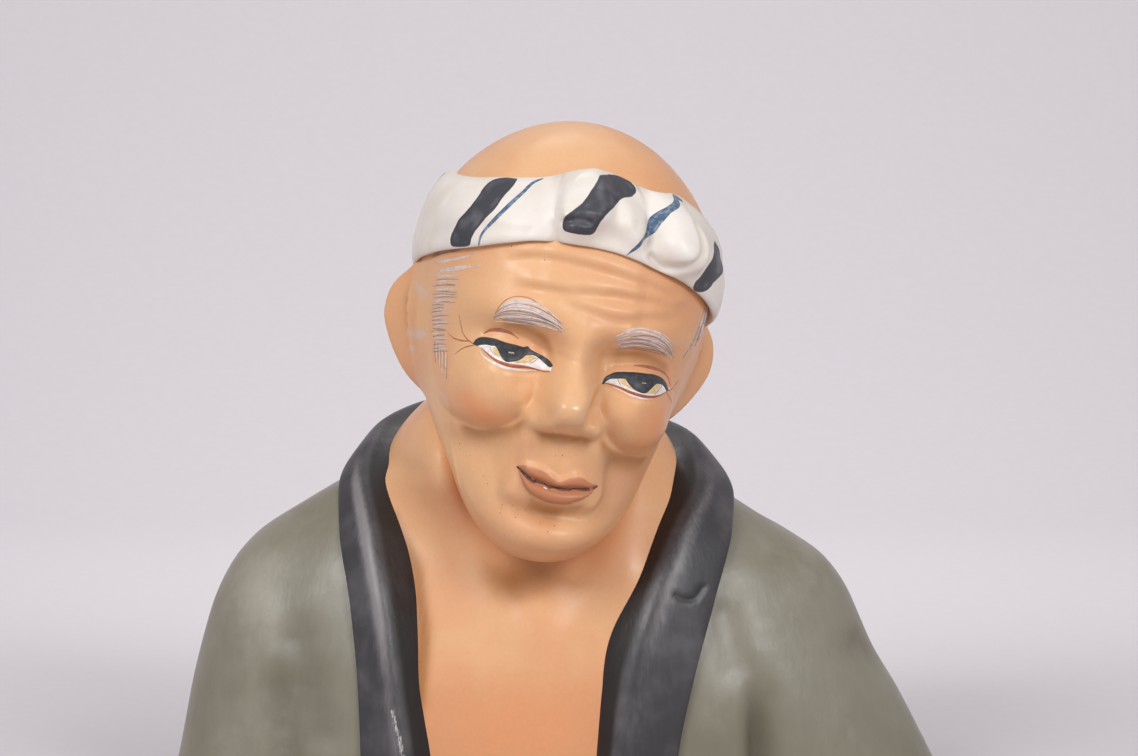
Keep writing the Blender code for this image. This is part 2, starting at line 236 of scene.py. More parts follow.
@dataclass
class Shell:
    """A closed skin of points and faces, with its own numbers on the points."""

    points: Array
    quads: Array
    fans: Array
    marks: dict[str, Array] = field(default_factory=dict)

    @staticmethod
    def from_rings(rings: Array, ends: Ends, marks: dict[str, Array] | None = None) -> "Shell":
        """Close a grid of rings into a skin that faces outward.

        Args:
            rings: Points by ring, place round it and coordinate.
            ends: How the outermost rings are shut.
            marks: Numbers for each point of the grid, by name.

        Returns:
            The shell, turned outside out if its signed volume says so.
        """
        count, sides, _ = rings.shape
        at = np.arange(count * sides).reshape(count, sides)
        following = np.roll(at, -1, axis=0) if ends is Ends.JOINED else at[1:]
        base = at if ends is Ends.JOINED else at[:-1]
        quads = np.stack([base, np.roll(base, -1, 1), np.roll(following, -1, 1), following], -1)
        quads = quads.reshape(-1, 4)
        points = rings.reshape(-1, 3)
        fans = np.zeros((0, 3), int)
        marks = {
            name: np.broadcast_to(values, (count, sides)).ravel() for name, values in (marks or {}).items()
        }
        if ends is Ends.POINT:
            low, high = len(points), len(points) + 1
            points = np.vstack([points, rings[0].mean(0), rings[-1].mean(0)])
            first, last = at[0], at[-1]
            fans = np.vstack([
                np.stack([np.roll(first, -1), first, np.full(sides, low)], -1),
                np.stack([last, np.roll(last, -1), np.full(sides, high)], -1),
            ])
            marks = {
                name: np.append(values, (values[first].mean(), values[last].mean()))
                for name, values in marks.items()
            }
        shell = Shell(points, quads, fans, marks)
        return shell if shell.volume() > 0 else shell.turned()

    def volume(self) -> float:
        """The volume inside the skin, negative when it faces inward.

        Returns:
            A sixth of the sum of the triple products of every triangle's corners.
        """
        triangles = np.vstack([self.quads[:, :3], self.quads[:, [0, 2, 3]], self.fans])
        a, b, c = np.moveaxis(self.points[triangles], 1, 0)
        return float((a * np.cross(b, c)).sum() / 6)

    def turned(self) -> "Shell":
        """The same shell facing the other way."""
        return Shell(self.points, self.quads[:, ::-1], self.fans[:, ::-1], self.marks)

    @staticmethod
    def gathered(shells: list["Shell"]) -> "Shell":
        """Several shells as one.

        Args:
            shells: The shells, all with the same marks.

        Returns:
            One shell with all their faces, none of them joined.
        """
        starts = np.cumsum([0] + [len(shell.points) for shell in shells[:-1]])
        return Shell(
            np.vstack([shell.points for shell in shells]),
            np.vstack([shell.quads + start for shell, start in zip(shells, starts)]),
            np.vstack([shell.fans + start for shell, start in zip(shells, starts)]),
            {name: np.concatenate([shell.marks[name] for shell in shells]) for name in shells[0].marks},
        )

    def as_mesh(self, name: str) -> bpy.types.Mesh:
        """Put the shell into a smooth-shaded Blender mesh, in metres.

        Args:
            name: The mesh's name.

        Returns:
            The mesh, with a float attribute for each mark.
        """
        mesh = bpy.data.meshes.new(name)
        corners = np.concatenate([self.quads.ravel(), self.fans.ravel()]).astype(np.int32)
        four = 4 * np.arange(len(self.quads))
        three = 4 * len(self.quads) + 3 * np.arange(len(self.fans))
        starts = np.concatenate([four, three]).astype(np.int32)
        mesh.vertices.add(len(self.points))
        mesh.loops.add(len(corners))
        mesh.polygons.add(len(starts))
        mesh.vertices.foreach_set("co", (self.points * MM).astype(np.float32).ravel())
        mesh.loops.foreach_set("vertex_index", corners)
        mesh.polygons.foreach_set("loop_start", starts)
        mesh.update(calc_edges=True)
        mesh.polygons.foreach_set("use_smooth", np.ones(len(starts), bool))
        for mark, values in self.marks.items():
            mesh.attributes.new(mark, "FLOAT", "POINT").data.foreach_set("value", values.astype(np.float32))
        mesh.validate()
        return mesh

    def as_piece(self, name: str, finish: "Finish") -> bpy.types.Object:
        """Make the shell a piece of the bust, riding on its body.

        Args:
            name: The piece's name.
            finish: The finish it wears.

        Returns:
            The piece, at the origin.
        """
        piece = shown(name, self.as_mesh(name))
        piece.data.materials.append(finish.material())
        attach(piece, BODY)
        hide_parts(NODE)
        log.info("%s: %d faces", name, len(piece.data.polygons))
        return piece


def shown(name: str, data: bpy.types.ID) -> bpy.types.Object:
    """Make an object of some data and put it in the scene.

    Args:
        name: The object's name.
        data: Its mesh, light or camera.

    Returns:
        The object, at the origin.
    """
    thing = bpy.data.objects.new(name, data)
    bpy.context.scene.collection.objects.link(thing)
    return thing


def linear(colour: str) -> tuple[float, float, float, float]:
    """An sRGB hex colour as Blender's linear numbers.

    Args:
        colour: Such as "#efbd8f".

    Returns:
        Red, green, blue and 1.
    """
    shares = (int(colour[i:i + 2], 16) / 255 for i in (1, 3, 5))
    red, green, blue = (c / 12.92 if c <= 0.04045 else ((c + 0.055) / 1.055) ** 2.4 for c in shares)
    return red, green, blue, 1.0


def per(size: float) -> float:
    """The scale of a noise whose features are this many millimetres, on coordinates in metres."""
    return 1 / (size * MM)


def add_node(
    tree: bpy.types.NodeTree, kind: str, settings: dict | None = None, links: dict | None = None,
) -> bpy.types.Node:
    """Add a node with its settings and links.

    Args:
        tree: The node tree.
        kind: The node's type name.
        settings: Attributes by lower-case name, and socket values by number or by title.
        links: What goes into which socket.

    Returns:
        The new node.
    """
    node = tree.nodes.new(kind)
    for key, value in (settings or {}).items():
        if isinstance(key, str) and key.islower():
            setattr(node, key, value)
        else:
            node.inputs[key].default_value = value
    for key, source in (links or {}).items():
        tree.links.new(source, node.inputs[key])
    return node


@dataclass(frozen=True)
class Coat:
    """A coat of colour over the last: its share is a mark plus a noise, between two bounds."""

    colour: str
    most: float
    size: float
    low: float
    high: float
    mark: str = ""
    wander: float = 1.0
    stretch: tuple = (1, 1, 1)


@dataclass(frozen=True)
class Grain:
    """A noise of a real size in millimetres that changes the brightness or stands up by a depth."""

    size: float
    low: float = 1.0
    high: float = 1.0
    depth: float = 0.0
    stretch: tuple = (1, 1, 1)


@dataclass(frozen=True)
class Finish:
    """How a surface was painted: its ground, the coats over it, its grain and its gloss."""

    name: str
    ground: str
    roughness: tuple
    specular: float = 0.5
    coats: tuple = ()
    grains: tuple = ()
    polish: str = ""
    polished_roughness: float = 0.18
    coat_detail: float = 4.0
    grain_detail: float = 3.0
    patch_size: float = 2.5

    def material(self) -> bpy.types.Material:
        """The finish's one material, made when it is first asked for.

        Returns:
            Its coats mixed in turn over the ground, then the grains' brightness and relief.
        """
        made = bpy.data.materials.get(self.name)
        if made:
            return made
        made = bpy.data.materials.new(self.name)
        made.use_nodes = True
        tree = made.node_tree
        shader = tree.nodes["Principled BSDF"]
        shader.inputs["Specular IOR Level"].default_value = self.specular
        if self.polish:
            sheen = add_node(tree, "ShaderNodeAttribute", {"attribute_name": self.polish}).outputs["Fac"]
            tree.links.new(sheen, shader.inputs["Coat Weight"])
            shader.inputs["Coat Roughness"].default_value = self.polished_roughness
        shader.inputs["Base Color"].default_value = linear(self.ground)
        place = add_node(tree, "ShaderNodeTexCoord").outputs["Object"]
        colour, normal = self.grained(tree, place, self.coated(tree, place))
        patchy = add_node(tree, "ShaderNodeTexNoise", {
            "Scale": per(self.patch_size), "Detail": self.coat_detail,
        }, {"Vector": place}).outputs["Fac"]
        gloss = add_node(tree, "ShaderNodeMapRange", {
            1: 0.3, 2: 0.7, 3: self.roughness[0], 4: self.roughness[1],
        }, {0: patchy}).outputs[0]
        tree.links.new(gloss, shader.inputs["Roughness"])
        tree.links.new(colour, shader.inputs["Base Color"])
        if normal:
            tree.links.new(normal, shader.inputs["Normal"])
        return made

    def coated(self, tree: bpy.types.NodeTree, place: bpy.types.NodeSocket) -> bpy.types.NodeSocket:
        """Mix the coats over the ground, each by its own mark and noise.

        Args:
            tree: The node tree.
            place: The places the noises are read at.

        Returns:
            The colour.
        """
        colour = None
        for coat in self.coats:
            where = add_node(tree, "ShaderNodeMapping", {"Scale": coat.stretch}, {"Vector": place}).outputs[0]
            value = add_node(tree, "ShaderNodeTexNoise", {
                "Scale": per(coat.size), "Detail": self.coat_detail,
            }, {"Vector": where}).outputs["Fac"]
            if coat.mark:
                mark = add_node(tree, "ShaderNodeAttribute", {"attribute_name": coat.mark}).outputs["Fac"]
                value = add_node(tree, "ShaderNodeMath", {
                    "operation": "MULTIPLY_ADD", 1: coat.wander,
                }, {0: value, 2: mark}).outputs[0]
            share = add_node(tree, "ShaderNodeMapRange", {
                "interpolation_type": "SMOOTHSTEP", 1: coat.low, 2: coat.high, 3: 0.0, 4: coat.most,
            }, {0: value}).outputs[0]
            under = {6: colour} if colour else {}
            colour = add_node(tree, "ShaderNodeMix", {
                "data_type": "RGBA", 6: linear(self.ground), 7: linear(coat.colour),
            }, {0: share} | under).outputs[2]
        return colour

    def grained(
        self, tree: bpy.types.NodeTree, place: bpy.types.NodeSocket, colour: bpy.types.NodeSocket,
    ) -> tuple[bpy.types.NodeSocket, bpy.types.NodeSocket | None]:
        """Let the grains change the colour's brightness and raise the surface.

        Args:
            tree: The node tree.
            place: The places the noises are read at.
            colour: The colour before any grain.

        Returns:
            The colour, and the normal where a grain has a depth.
        """
        normal = None
        for grain in self.grains:
            where = add_node(
                tree, "ShaderNodeMapping", {"Scale": grain.stretch}, {"Vector": place},
            ).outputs[0]
            value = add_node(tree, "ShaderNodeTexNoise", {
                "Scale": per(grain.size), "Detail": self.grain_detail,
            }, {"Vector": where}).outputs["Fac"]
            if grain.low < grain.high:
                bright = add_node(
                    tree, "ShaderNodeMapRange", {3: grain.low, 4: grain.high}, {0: value},
                ).outputs[0]
                colour = add_node(
                    tree, "ShaderNodeHueSaturation", links={"Value": bright, "Color": colour},
                ).outputs[0]
            if grain.depth:
                under = {"Normal": normal} if normal else {}
                normal = add_node(tree, "ShaderNodeBump", {
                    "Distance": grain.depth * MM, "Strength": 1.0,
                }, {"Height": value} | under).outputs[0]
        return colour, normal


# Skin: body colour in animal glue, sprayed on fired clay and rubbed to a satin. The eye sees a
# warm ground that drifts from yellow to pink, orange on the cheeks, a bloom of lilac under the
# hair, a fine spray grain and a soft shine. Painted shade: brown sprayed into every hollow, and
# the right side of the face and the underside of the chin warmer and darker. The spray's real
# grain is about 0.1 mm; it is drawn at 0.45 mm, so that it shows.
SKIN = Finish("sprayed_skin_paint", "#eab686", (0.31, 0.43), 0.43, coats=(
    Coat("#e2a074", 0.5, 9, 0.38, 0.66),
    # Warmth and painted shade: warmer and darker down the right side of the face, under the chin and on the
    # ears, and lower on the chest.
    Coat("#de9a6c", 0.95, 3, 0.12, 1.15, "warmth_and_shade", 0.2),
    Coat("#f09861", 0.88, 2.2, 0.12, 1.05, "glow", 0.25),
    # Painted shade: brown in the creases round the features, in the ears' dishes, in the pit of the throat
    # and down the collar's inner edge.
    Coat("#a4682f", 0.9, 2.2, 0.12, 1.15, "painted_shade", 0.2),
    Coat("#d8c0b6", 0.85, 0.5, 0.5, 1.5, "frost", 0.9, (1, 1, 2.5)),
    Coat("#bd7752", 0.9, 0.5, 0.02, 0.26, "lip", 0.12),
), grains=(Grain(0.4, 0.95, 1.05), Grain(3.5, depth=0.05), Grain(0.45, depth=0.014)), polish="polish")
# Jacket: olive-grey body colour brushed over clay, with a thin glue size. The eye sees a flat
# grey green, long faint brush drags and a broad dull shine on the shoulders, with painted shade,
# warmer and darker, in the folds, and a pale painted sheen on the shoulders and the left arm.
JACKET = Finish("olive_glue_paint", "#8b8575", (0.34, 0.46), 0.6, coats=(
    Coat("#716c58", 0.6, 14, 0.35, 0.68),
    # Painted shade: warmer and darker in the sleeves' folds and the slit by the right arm.
    Coat("#5c5644", 0.95, 2.0, 0.14, 1.1, "fold", 0.2),
    Coat("#a8a195", 0.25, 5, 0.55, 0.8),
    # Painted sheen: pale on the left shoulder, low on the left arm and on the right shoulder, where the light
    # falls.
    Coat("#b5aea2", 0.5, 1.6, 0.25, 1.4, "sheen", 0.5),
), grains=(
    Grain(2.4, 0.94, 1.06, 0.03, (3.2, 3.2, 0.35)), Grain(0.4, 0.965, 1.035), Grain(0.5, depth=0.012),
))
# Collar: blue-black ink and glue, burnished. The eye sees near black with a dull bloom, grey wear
# with a painted highlight along the ridge, brush drags, painted shade on the inner face and in the
# crease, and a chalky scuff.
COLLAR_BLACK = Finish("burnished_black_paint", "#39373a", (0.34, 0.46), 0.55, coats=(
    Coat("#5f5b5d", 0.75, 6, 0.4, 0.72),
    # Wear and painted highlight: grey along the ridge, brighter on the left and higher up.
    Coat("#9a9494", 0.62, 0.9, 0.3, 1.5, "wear_and_highlight", 0.6, (2.5, 2.5, 0.4)),
    # Painted shade: near black-brown on the inner face, turned down to the chest, and in the small crease.
    Coat("#18110f", 0.95, 2.0, 0.1, 1.0, "inside", 0.15),
    Coat("#c9c7c2", 0.9, 0.4, 1.5, 1.9, "scuff", 1.5, (3, 3, 0.7)),
), grains=(Grain(1.6, 0.86, 1.14, 0.025, (3, 3, 0.3)), Grain(0.5, depth=0.012)))
# Towel: shell white and glue over clay, with a brushed pattern in ink and dye blue. The eye sees a
# warm white, yellower with age on the knots, painted shade greyer in the valleys and at the edges,
# ink bars with a dull bloom and a hand-cut edge.
TOWEL_WHITE = Finish("shell_white_paint", "#f1e8df", (0.36, 0.5), 0.5, coats=(
    Coat("#e6d9c6", 0.6, 5, 0.42, 0.68),
    # Painted shade: greyer where the cloth lies low by the knots and at its edges.
    Coat("#cdbfb2", 0.9, 2.0, 0.1, 1.1, "valley_shade", 0.15),
    Coat("#3e3e45", 1.0, 0.6, 0.04, 0.12, "bar", 0.1),
    Coat("#6c6a70", 0.7, 2.2, 1.6, 2.0, "bloom", 1.4),
), grains=(Grain(0.5, 0.975, 1.025), Grain(2.5, depth=0.04), Grain(0.5, depth=0.012)), polish="polish")
# The foot: bare biscuit-fired clay. The eye sees a dry grainy earth with small pits.
CLAY = Finish("biscuit_clay", "#c79a78", (0.8, 0.92), 0.3, coats=(
    Coat("#b08463", 1.0, 3, 0.35, 0.7),
), grains=(Grain(0.35, 0.9, 1.08), Grain(0.8, depth=0.08)))


def brushed(name: str, colour: str, streak: str) -> Finish:
    """A brush mark: thick glue paint a little proud of the skin, streaked along the hairs.

    Args:
        name: The colour's name.
        colour: The paint's colour.
        streak: The lighter or darker colour where the hairs dragged.

    Returns:
        The finish.
    """
    return Finish("brushed_" + name, colour, (0.34, 0.46), 0.5, coats=(
        Coat(streak, 1.0, 0.5, 0.4, 0.68),
    ), grains=(Grain(0.3, depth=0.006),))


# The sweep: matt seamless paper. The eye sees an even pale ground with a hardly visible tooth.
PAPER = Finish("matt_studio_paper", "#cdc7ca", (0.88, 0.94), 0.1, coats=(
    Coat("#ccc6c9", 1.0, 2, 0.4, 0.6),
))
INK = brushed("ink", "#303238", "#43454c")
WHITE = brushed("white", "#f7f1ec", "#e6dfdb")
GOLD = brushed("ochre", "#e6cb98", "#d6b478")
RUST = brushed("red_earth", "#a4563c", "#b56a4c")
RUST_PALE = brushed("thin_red_earth", "#a8654a", "#ba7a5a")
LILAC = brushed("lilac_white", "#e6dad6", "#cfc0bc")
GREY = brushed("grey", "#968883", "#80726d")
BROWN = brushed("brown", "#a5795f", "#8f6550")
MOUTH_DARK = brushed("lip_line", "#5a4036", "#6e5248")
PIT = brushed("pinhole_dark", "#7a4230", "#5e3226")
BLUE_LINE = brushed("blue", "#46607e", "#8492a0")
# A painted highlight on each pupil.
PAINTED_PUPIL_HIGHLIGHT = brushed("pupil_light", "#b9ad92", "#a3977e")


@dataclass
class Head:
    """The bowed head: an uneven ball with the face raised on it, and an ear at each side."""

    lean_deg: float = 11.9
    nod_deg: float = 5.1
    turn_deg: float = 8.5
    place: tuple = (-1.8, -3.6, 52.7)
    chin: float = -23.6
    crown: float = 24.4
    chin_forward: float = 10.0
    jaw_shift: float = 1.5
    # By height from the eyes: half the breadth, and the reach to the front and to the back.
    widths: Table = ((-23.6, 13.6), (-20, 13.9), (-16, 13.9), (-8, 14.6), (0, 15.6), (9, 17.3), (18, 18.8),
                     (24.4, 18.8))
    fronts: Table = (
        (-23.6, 19), (-22, 18.4), (-19, 17.1), (-16, 16.6), (-12, 17.5), (-8, 18.9),
        (0, 18.6), (4, 19.4), (14, 20.5), (24.4, 19),
    )
    backs: Table = ((-23.6, 11), (-16, 12), (-8, 12.3), (0, 18.5), (5, 21), (16, 22.5), (24.4, 22))
    # The lips' three lines as (arc, height).
    upper_lip: Table = (
        (-6.3, -11.9), (-5.7, -11.59), (-4.8, -11.37), (-2.8, -11.44), (-1.8, -11.66), (-1, -11.95),
        (-0.2, -12.22), (0.4, -12.18), (1, -11.95), (1.9, -11.59), (2.6, -11.5), (3.6, -11.52),
        (4.5, -11.81), (5.4, -12.1), (6.5, -12.39),
    )
    lip_line: Table = (
        (-6.3, -11.9), (-5.2, -12.46), (-4.1, -12.9), (-2.7, -13.04), (-1.2, -13.19), (0.25, -13.22),
        (1.9, -13.15), (3.6, -13.04), (5.2, -12.9), (5.9, -12.75), (6.5, -12.39),
    )
    lower_lip: Table = (
        (-6.3, -12.3), (-5.9, -13.12), (-5.6, -13.7), (-4.9, -14.28), (-3.9, -14.64), (-2.7, -14.86),
        (-1.3, -15.08), (0.05, -15.08), (1.7, -14.93), (2.8, -14.49), (4, -14.06), (5, -13.55),
        (5.7, -13.12), (6.5, -12.45),
    )
    ear_thickness: float = 3.6
    ear_reach: tuple = (5.6, 7.9)
    ear_place: tuple = (13.9, 0.3, -1.5)
    ear_flare_deg: float = 36.0
    ear_bearing_deg: float = 80.0
    crowding: tuple = (0.55, 0.2)
    # How many rounds spread the seam's mark, and how many smooth the skin near it.
    seam_rounds: tuple = (60, 220)
    seam_pull: float = 0.6
    # Grooves as rows of ((arc, height) places, depth).
    lid_line_width: float = 0.34
    lid_lines: tuple = (
        (((-11, 1.4), (-9.6, 2.15), (-8, 2.2), (-6, 1.9), (-4, 1.1)), 0.28),
        (((5, 1.0), (7.5, 1.25), (9.6, 1.2), (12, 0.6), (13.6, -0.5)), 0.28),
        (((-11.4, -0.7), (-9, -1.4), (-7, -1.6), (-4.6, -1.4), (-3, -0.9)), 0.14),
        (((4.6, -1.4), (7, -2.0), (9.5, -2.1), (12, -1.8)), 0.14),
        (((-2.2, 1.1), (0.8, 0.9), (4.0, 0)), 0.12),
    )
    # By height from the eyes: how far the nose stands out, its middle, its breadth, and where the
    # muzzle ends at each side.
    nose_heights: Table = (
        (-8.8, 0), (-8.0, 0.4), (-7.2, 2.0), (-6.5, 3.9), (-5.8, 5.0), (-5.0, 5.65), (-4.2, 5.85),
        (-3.4, 5.9),
        (-2.6, 5.65), (-1.8, 5.05), (-1.0, 4.3), (0, 3.4), (1.2, 2.5), (3, 1.5), (6, 0.3), (9, 0),
    )
    nose_middles: Table = ((-9, -0.1), (-4, -0.35), (-1, 0.05), (1, -0.1), (9, 0))
    nose_breadths: Table = ((-9, 1.9), (-6.5, 2.0), (-4.6, 2.15), (-2.5, 2.2), (0, 2.3), (3, 2.7), (9, 3.5))
    muzzle_left: Table = ((-17, -5.4), (-15.4, -5.6), (-13, -5.3), (-10.2, -4.6), (-7.4, -4.0))
    muzzle_right: Table = ((-17, 3.4), (-15, 4.6), (-13, 5.5), (-10.4, 5.6), (-7, 4.2))
    # Folds as rows of ((arc, height) places, depth).
    forehead_folds: tuple = (
        (((-11, 9.8), (-7, 10.8), (-4, 11.1), (0.7, 10.9), (5.7, 10.2), (12.5, 8.9)), 0.3),
        (((-9.5, 7.3), (-5.6, 7.7), (-3.4, 7.9), (1, 8.3), (4.5, 8.5), (14.5, 7.8)), 0.3),
        (((-4.4, 7.4), (-3.2, 7.0), (0.5, 6.4), (3.7, 6.1), (7, 6.6), (13, 7.1)), 0.26),
    )
    jaw_seam: Table = ((-15.4, -4), (-15.9, -8), (-17.6, -12.5), (-20.6, -17))
    # Painted shade, sprayed brown: rows of (places, reach above, reach below, strength).
    shaded_lines: tuple = (
        (((-14.9, -9.6), (-11.6, -9.55), (-8.5, -8.6), (-6.4, -7.8), (-4.7, -6.4)), 0.4, 1.25, 0.72),
        (((4.9, -7.2), (8.2, -8.9), (13.2, -9.7), (16.2, -9.7)), 0.4, 1.6, 0.6),
        (((-3.9, -7.4), (-2.6, -7.6), (0, -7.1), (2.8, -7.5), (4.3, -7.4)), 0.45, 1.25, 0.85),
        (((-5.2, -15.0), (-1.5, -15.6), (2.6, -15.4), (5.4, -14.4)), 0.5, 1.6, 0.52),
        (((-8, -17), (-3, -17.3), (2, -16.9)), 1.2, 1.2, 0.35),
        (((-9.6, 3.0), (-6.6, 3.3), (-4, 2.4), (-2.6, 0.9)), 0.7, 1.0, 0.62),
        (((4.0, 2.2), (7, 2.4), (10, 2.0), (13, 0.8)), 0.6, 0.9, 0.66),
        (((-3.4, 6.6), (0.5, 6.0), (3.7, 5.8), (8, 6.3)), 0.5, 0.8, 0.2),
    )
    # Painted shade, sprayed brown: rows of (places, width, strength).
    shaded_bands: tuple = (
        (((3.1, 1.8), (3.2, 0), (3.1, -2.4), (3.2, -4.4)), 0.7, 0.28),
        (((-3.2, 1.2), (-3.0, -1)), 0.7, 0.25),
        (((-9, -12.4), (-9.6, -15.5)), 1.8, 0.3),
        (((7.6, -10.6), (8.8, -14)), 1.6, 0.35),
    )
    # Lilac patches: rows of (outline, strength).
    frosted: tuple = (
        (((-10.3, 3.4), (-9.6, 5.2), (-8.4, 6.2), (-6.8, 6.6), (-5.0, 6.1), (-3.2, 5.1), (-2.0, 3.9),
          (-4.6, 3.9), (-8.7, 3.5)), 0.75),
        (((3.7, 4.8), (5.3, 5.5), (7.0, 5.7), (9.1, 5.3), (11.6, 3.9), (13.3, 2.0), (10.4, 2.9),
          (8.1, 3.3), (4.2, 2.7)), 0.7),
        (((-20.6, 6.0), (-15.6, 7.4), (-15.4, 4.8), (-16.4, 1.5), (-16.6, -2.6), (-19.0, -3.2), (-19.9, 0),
          (-20.3, 4)), 0.45),
        (((15.2, 2.6), (18.6, 4.2), (20.6, 6.0), (19.4, 8.0), (17.0, 7.4), (15.6, 5.2)), 0.35),
    )
    # Rises as mounds takes them: the orange of the cheeks, painted shade in orange down the right side
    # of the nose, and where the skin is rubbed bright.
    blushes_and_shade: tuple = (
        (0.5, (-12.0, -6.4), (3.4, 2.0), 0, 2.2), (0.3, (-9, -7.2), (3.5, 1.3)),
        (0.6, (12.4, -5.2), (3.0, 3.2), 0, 2.2), (0.3, (2.6, -2.4), (0.9, 3.0)),
    )
    sheen: tuple = ((0.9, (-0.3, -3.8), (2.0, 1.9), 0, 3), (0.3, (-11.6, -4.2), (2.6, 2.0)))
    # Outlines are measured only this near their middle.
    measured_within: float = 9.0
    bearings: int = 340
    levels: int = 236

    def plain(self, bearing: Array, height: Array) -> Array:
        """The head without its features: each level an oval, shrunk by a circle's rounding.

        Args:
            bearing: The bearing round the head, 0 in front.
            height: The height from the eyes.

        Returns:
            Points in the head's own frame.
        """
        middle, half = (self.crown + self.chin) / 2, (self.crown - self.chin) / 2
        round_off = np.sqrt(np.clip(1 - ((height - middle) / half) ** 2, 0, 1))
        facing = np.cos(bearing)
        full = 1 + 0.05 * np.sin(2 * bearing) ** 2 * (facing > 0)
        x = through(self.widths, height) * np.sin(bearing) * full * round_off
        depth = np.where(facing > 0, through(self.fronts, height) * full, through(self.backs, height))
        forward = self.chin_forward * smooth_step((-5 - height) / 18)
        return np.stack([x, -forward - depth * facing * round_off, height], -1)

    def relief(self, x: Array, z: Array, arc: Array) -> Array:
        """How far the features stand forward: the sum of brows, sockets, lids and the rest.

        Args:
            x: Places across the face.
            z: Heights from the eyes.
            arc: Places on the arc round the head.

        Returns:
            The rise at each place.
        """
        side = np.abs(x)
        rise = 1.0 * mound(side, z, (6.8, 5.0), (5.0, 2.2), -8)
        rise += 0.5 * mound(x, z, (0.5, 4.5), (2.6, 2.6))
        rise -= 1.3 * mound(side, z, (6.5, 2.0), (5.0, 2.0), -6)
        rise -= 1.5 * mound(side, z, (2.9, 1.0), (1.7, 2.0))
        rise -= 1.2 * mound(side, z, (7.0, -0.6), (5.2, 2.2))
        rise += 1.5 * mound(side, z, (7.0, -0.2), (3.8, 1.9))
        for path, depth in self.lid_lines:
            rise -= depth * on_path(arc, z, path, self.lid_line_width, 24)
        return rise + self.cheeks(x, z) + self.nose(x, z) + self.mouth(x, z, arc) + self.folds(x, z, arc)

    def cheeks(self, x: Array, z: Array) -> Array:
        """Cheeks as round as apples: domes with a steep lower edge, and hollows under them.

        Args:
            x: Places across the face.
            z: Heights from the eyes.

        Returns:
            The rise at each place.
        """
        side = np.abs(x)
        above = z + 4.3 + 0.2 * (side - 8.6)
        away = np.hypot((side - 8.7) / 4.9, above / np.where(above < 0, 4.7, 6.6))
        crisp = np.maximum(smooth_step(0.5 - above / 3), 0.5 * smooth_step((side - 11) / 1.5))
        rise = 2.6 * (crisp * np.clip(1 - away**2.6, 0, 1) + (1 - crisp) * smooth_step((1.08 - away) / 0.85))
        rise -= 1.5 * mound(side, z, (8.6, -11.8), (4.0, 2.2), -18)
        rise -= 0.8 * mound(side, z, (10.5, -14.5), (3.0, 4.0))
        return rise

    def nose(self, x: Array, z: Array) -> Array:
        """The nose: a ridge whose height and breadth follow tables, and two round wings.

        Args:
            x: Places across the face.
            z: Heights from the eyes.

        Returns:
            The rise at each place.
        """
        flatness = 2.2 + 2.2 * smooth_step((-0.5 - z) / 2.5)
        aside = np.abs((x - through(self.nose_middles, z)) / through(self.nose_breadths, z))
        rise = through(self.nose_heights, z) * np.exp(-0.7 * aside**flatness)
        rise += 0.9 * mound(x, z, (-0.35, -3.9), (2.3, 2.2))
        wings = ((2.3, (-3.05, -6.2), (1.3, 1.35), 0, 2.6), (2.3, (3.1, -6.1), (1.25, 1.35), 0, 2.6))
        rise += mounds(x, z, wings)
        grooves = ((1, (-2.2, -5.4), (0.45, 1.2), 15), (1, (2.1, -5.2), (0.45, 1.2), -15))
        rise -= 0.3 * mounds(x, z, grooves)
        return rise

    def mouth(self, x: Array, z: Array, arc: Array) -> Array:
        """The muzzle between the two folds, the lips by their three lines, and the chin.

        Args:
            x: Places across the face.
            z: Heights from the eyes.
            arc: Places on the arc round the head.

        Returns:
            The rise; each lip is a roll over its share of the way from the line to its edge.
        """
        left, right = through(self.muzzle_left, z), through(self.muzzle_right, z)
        muzzle = smooth_step((x - left) / 1.8 + 0.5) * smooth_step((right - x) / 1.1 + 0.5)
        rise = 0.75 * muzzle * smooth_step((z + 16.8) / 2.2) * smooth_step((-6.5 - z) / 2.5)
        rise += 0.9 * mound(x, z, (0.4, -12.6), (4.6, 4.0), 0, 2.6)
        tables = (self.upper_lip, self.lip_line, self.lower_lip)
        upper, line, lower = (through(table, arc) for table in tables)
        within = smooth_step((arc + 6.6) / 1.8) * smooth_step((6.8 - arc) / 1.8)
        up = (z - line) / np.maximum(upper - line, 0.25)
        down = (line - z) / np.maximum(line - lower, 0.25)
        roll = 0.75 * smooth_step(up / 0.55) * (1 - 0.62 * smooth_step((up - 0.75) / 0.7))
        rise += within * np.where(up > 0, roll, 0)
        roll = np.sqrt(np.clip(1 - (2 * np.clip(down, 0, 1) - 1) ** 2, 0, 1))
        rise += within * np.where(down > 0, 0.95 * roll, 0)
        rise -= 0.25 * within * np.exp(-(((z - line) / 0.3) ** 2))
        rise -= 0.3 * mound(x, z, (0.4, -9.6), (0.8, 1.5))
        rise -= 1.1 * mound(x, z, (0.8, -16.5), (4.6, 1.15), 4)
        rise += 1.0 * mound(x, z, (1.3, -19.6), (4.4, 2.2), 0, 2.8)
        return rise

    def folds(self, x: Array, z: Array, arc: Array) -> Array:
        """The forehead's folds: a groove along each path with a soft roll above it.

        Args:
            x: Places across the face; not used.
            z: Heights from the eyes.
            arc: Places on the arc round the head.

        Returns:
            The rise at each place.
        """
        rise = np.zeros_like(z)
        for path, depth in self.forehead_folds:
            run = curve_through(path, 40)
            ends = smooth_step((arc - run[0, 0]) / 3) * smooth_step((run[-1, 0] - arc) / 3)
            above = z - np.interp(arc, run[:, 0], run[:, 1])
            roll, groove = np.exp(-(((above - 1.1) / 0.9) ** 2)), np.exp(-((above / 0.7) ** 2))
            rise += ends * depth * (1.1 * roll - 1.1 * groove)
        return rise

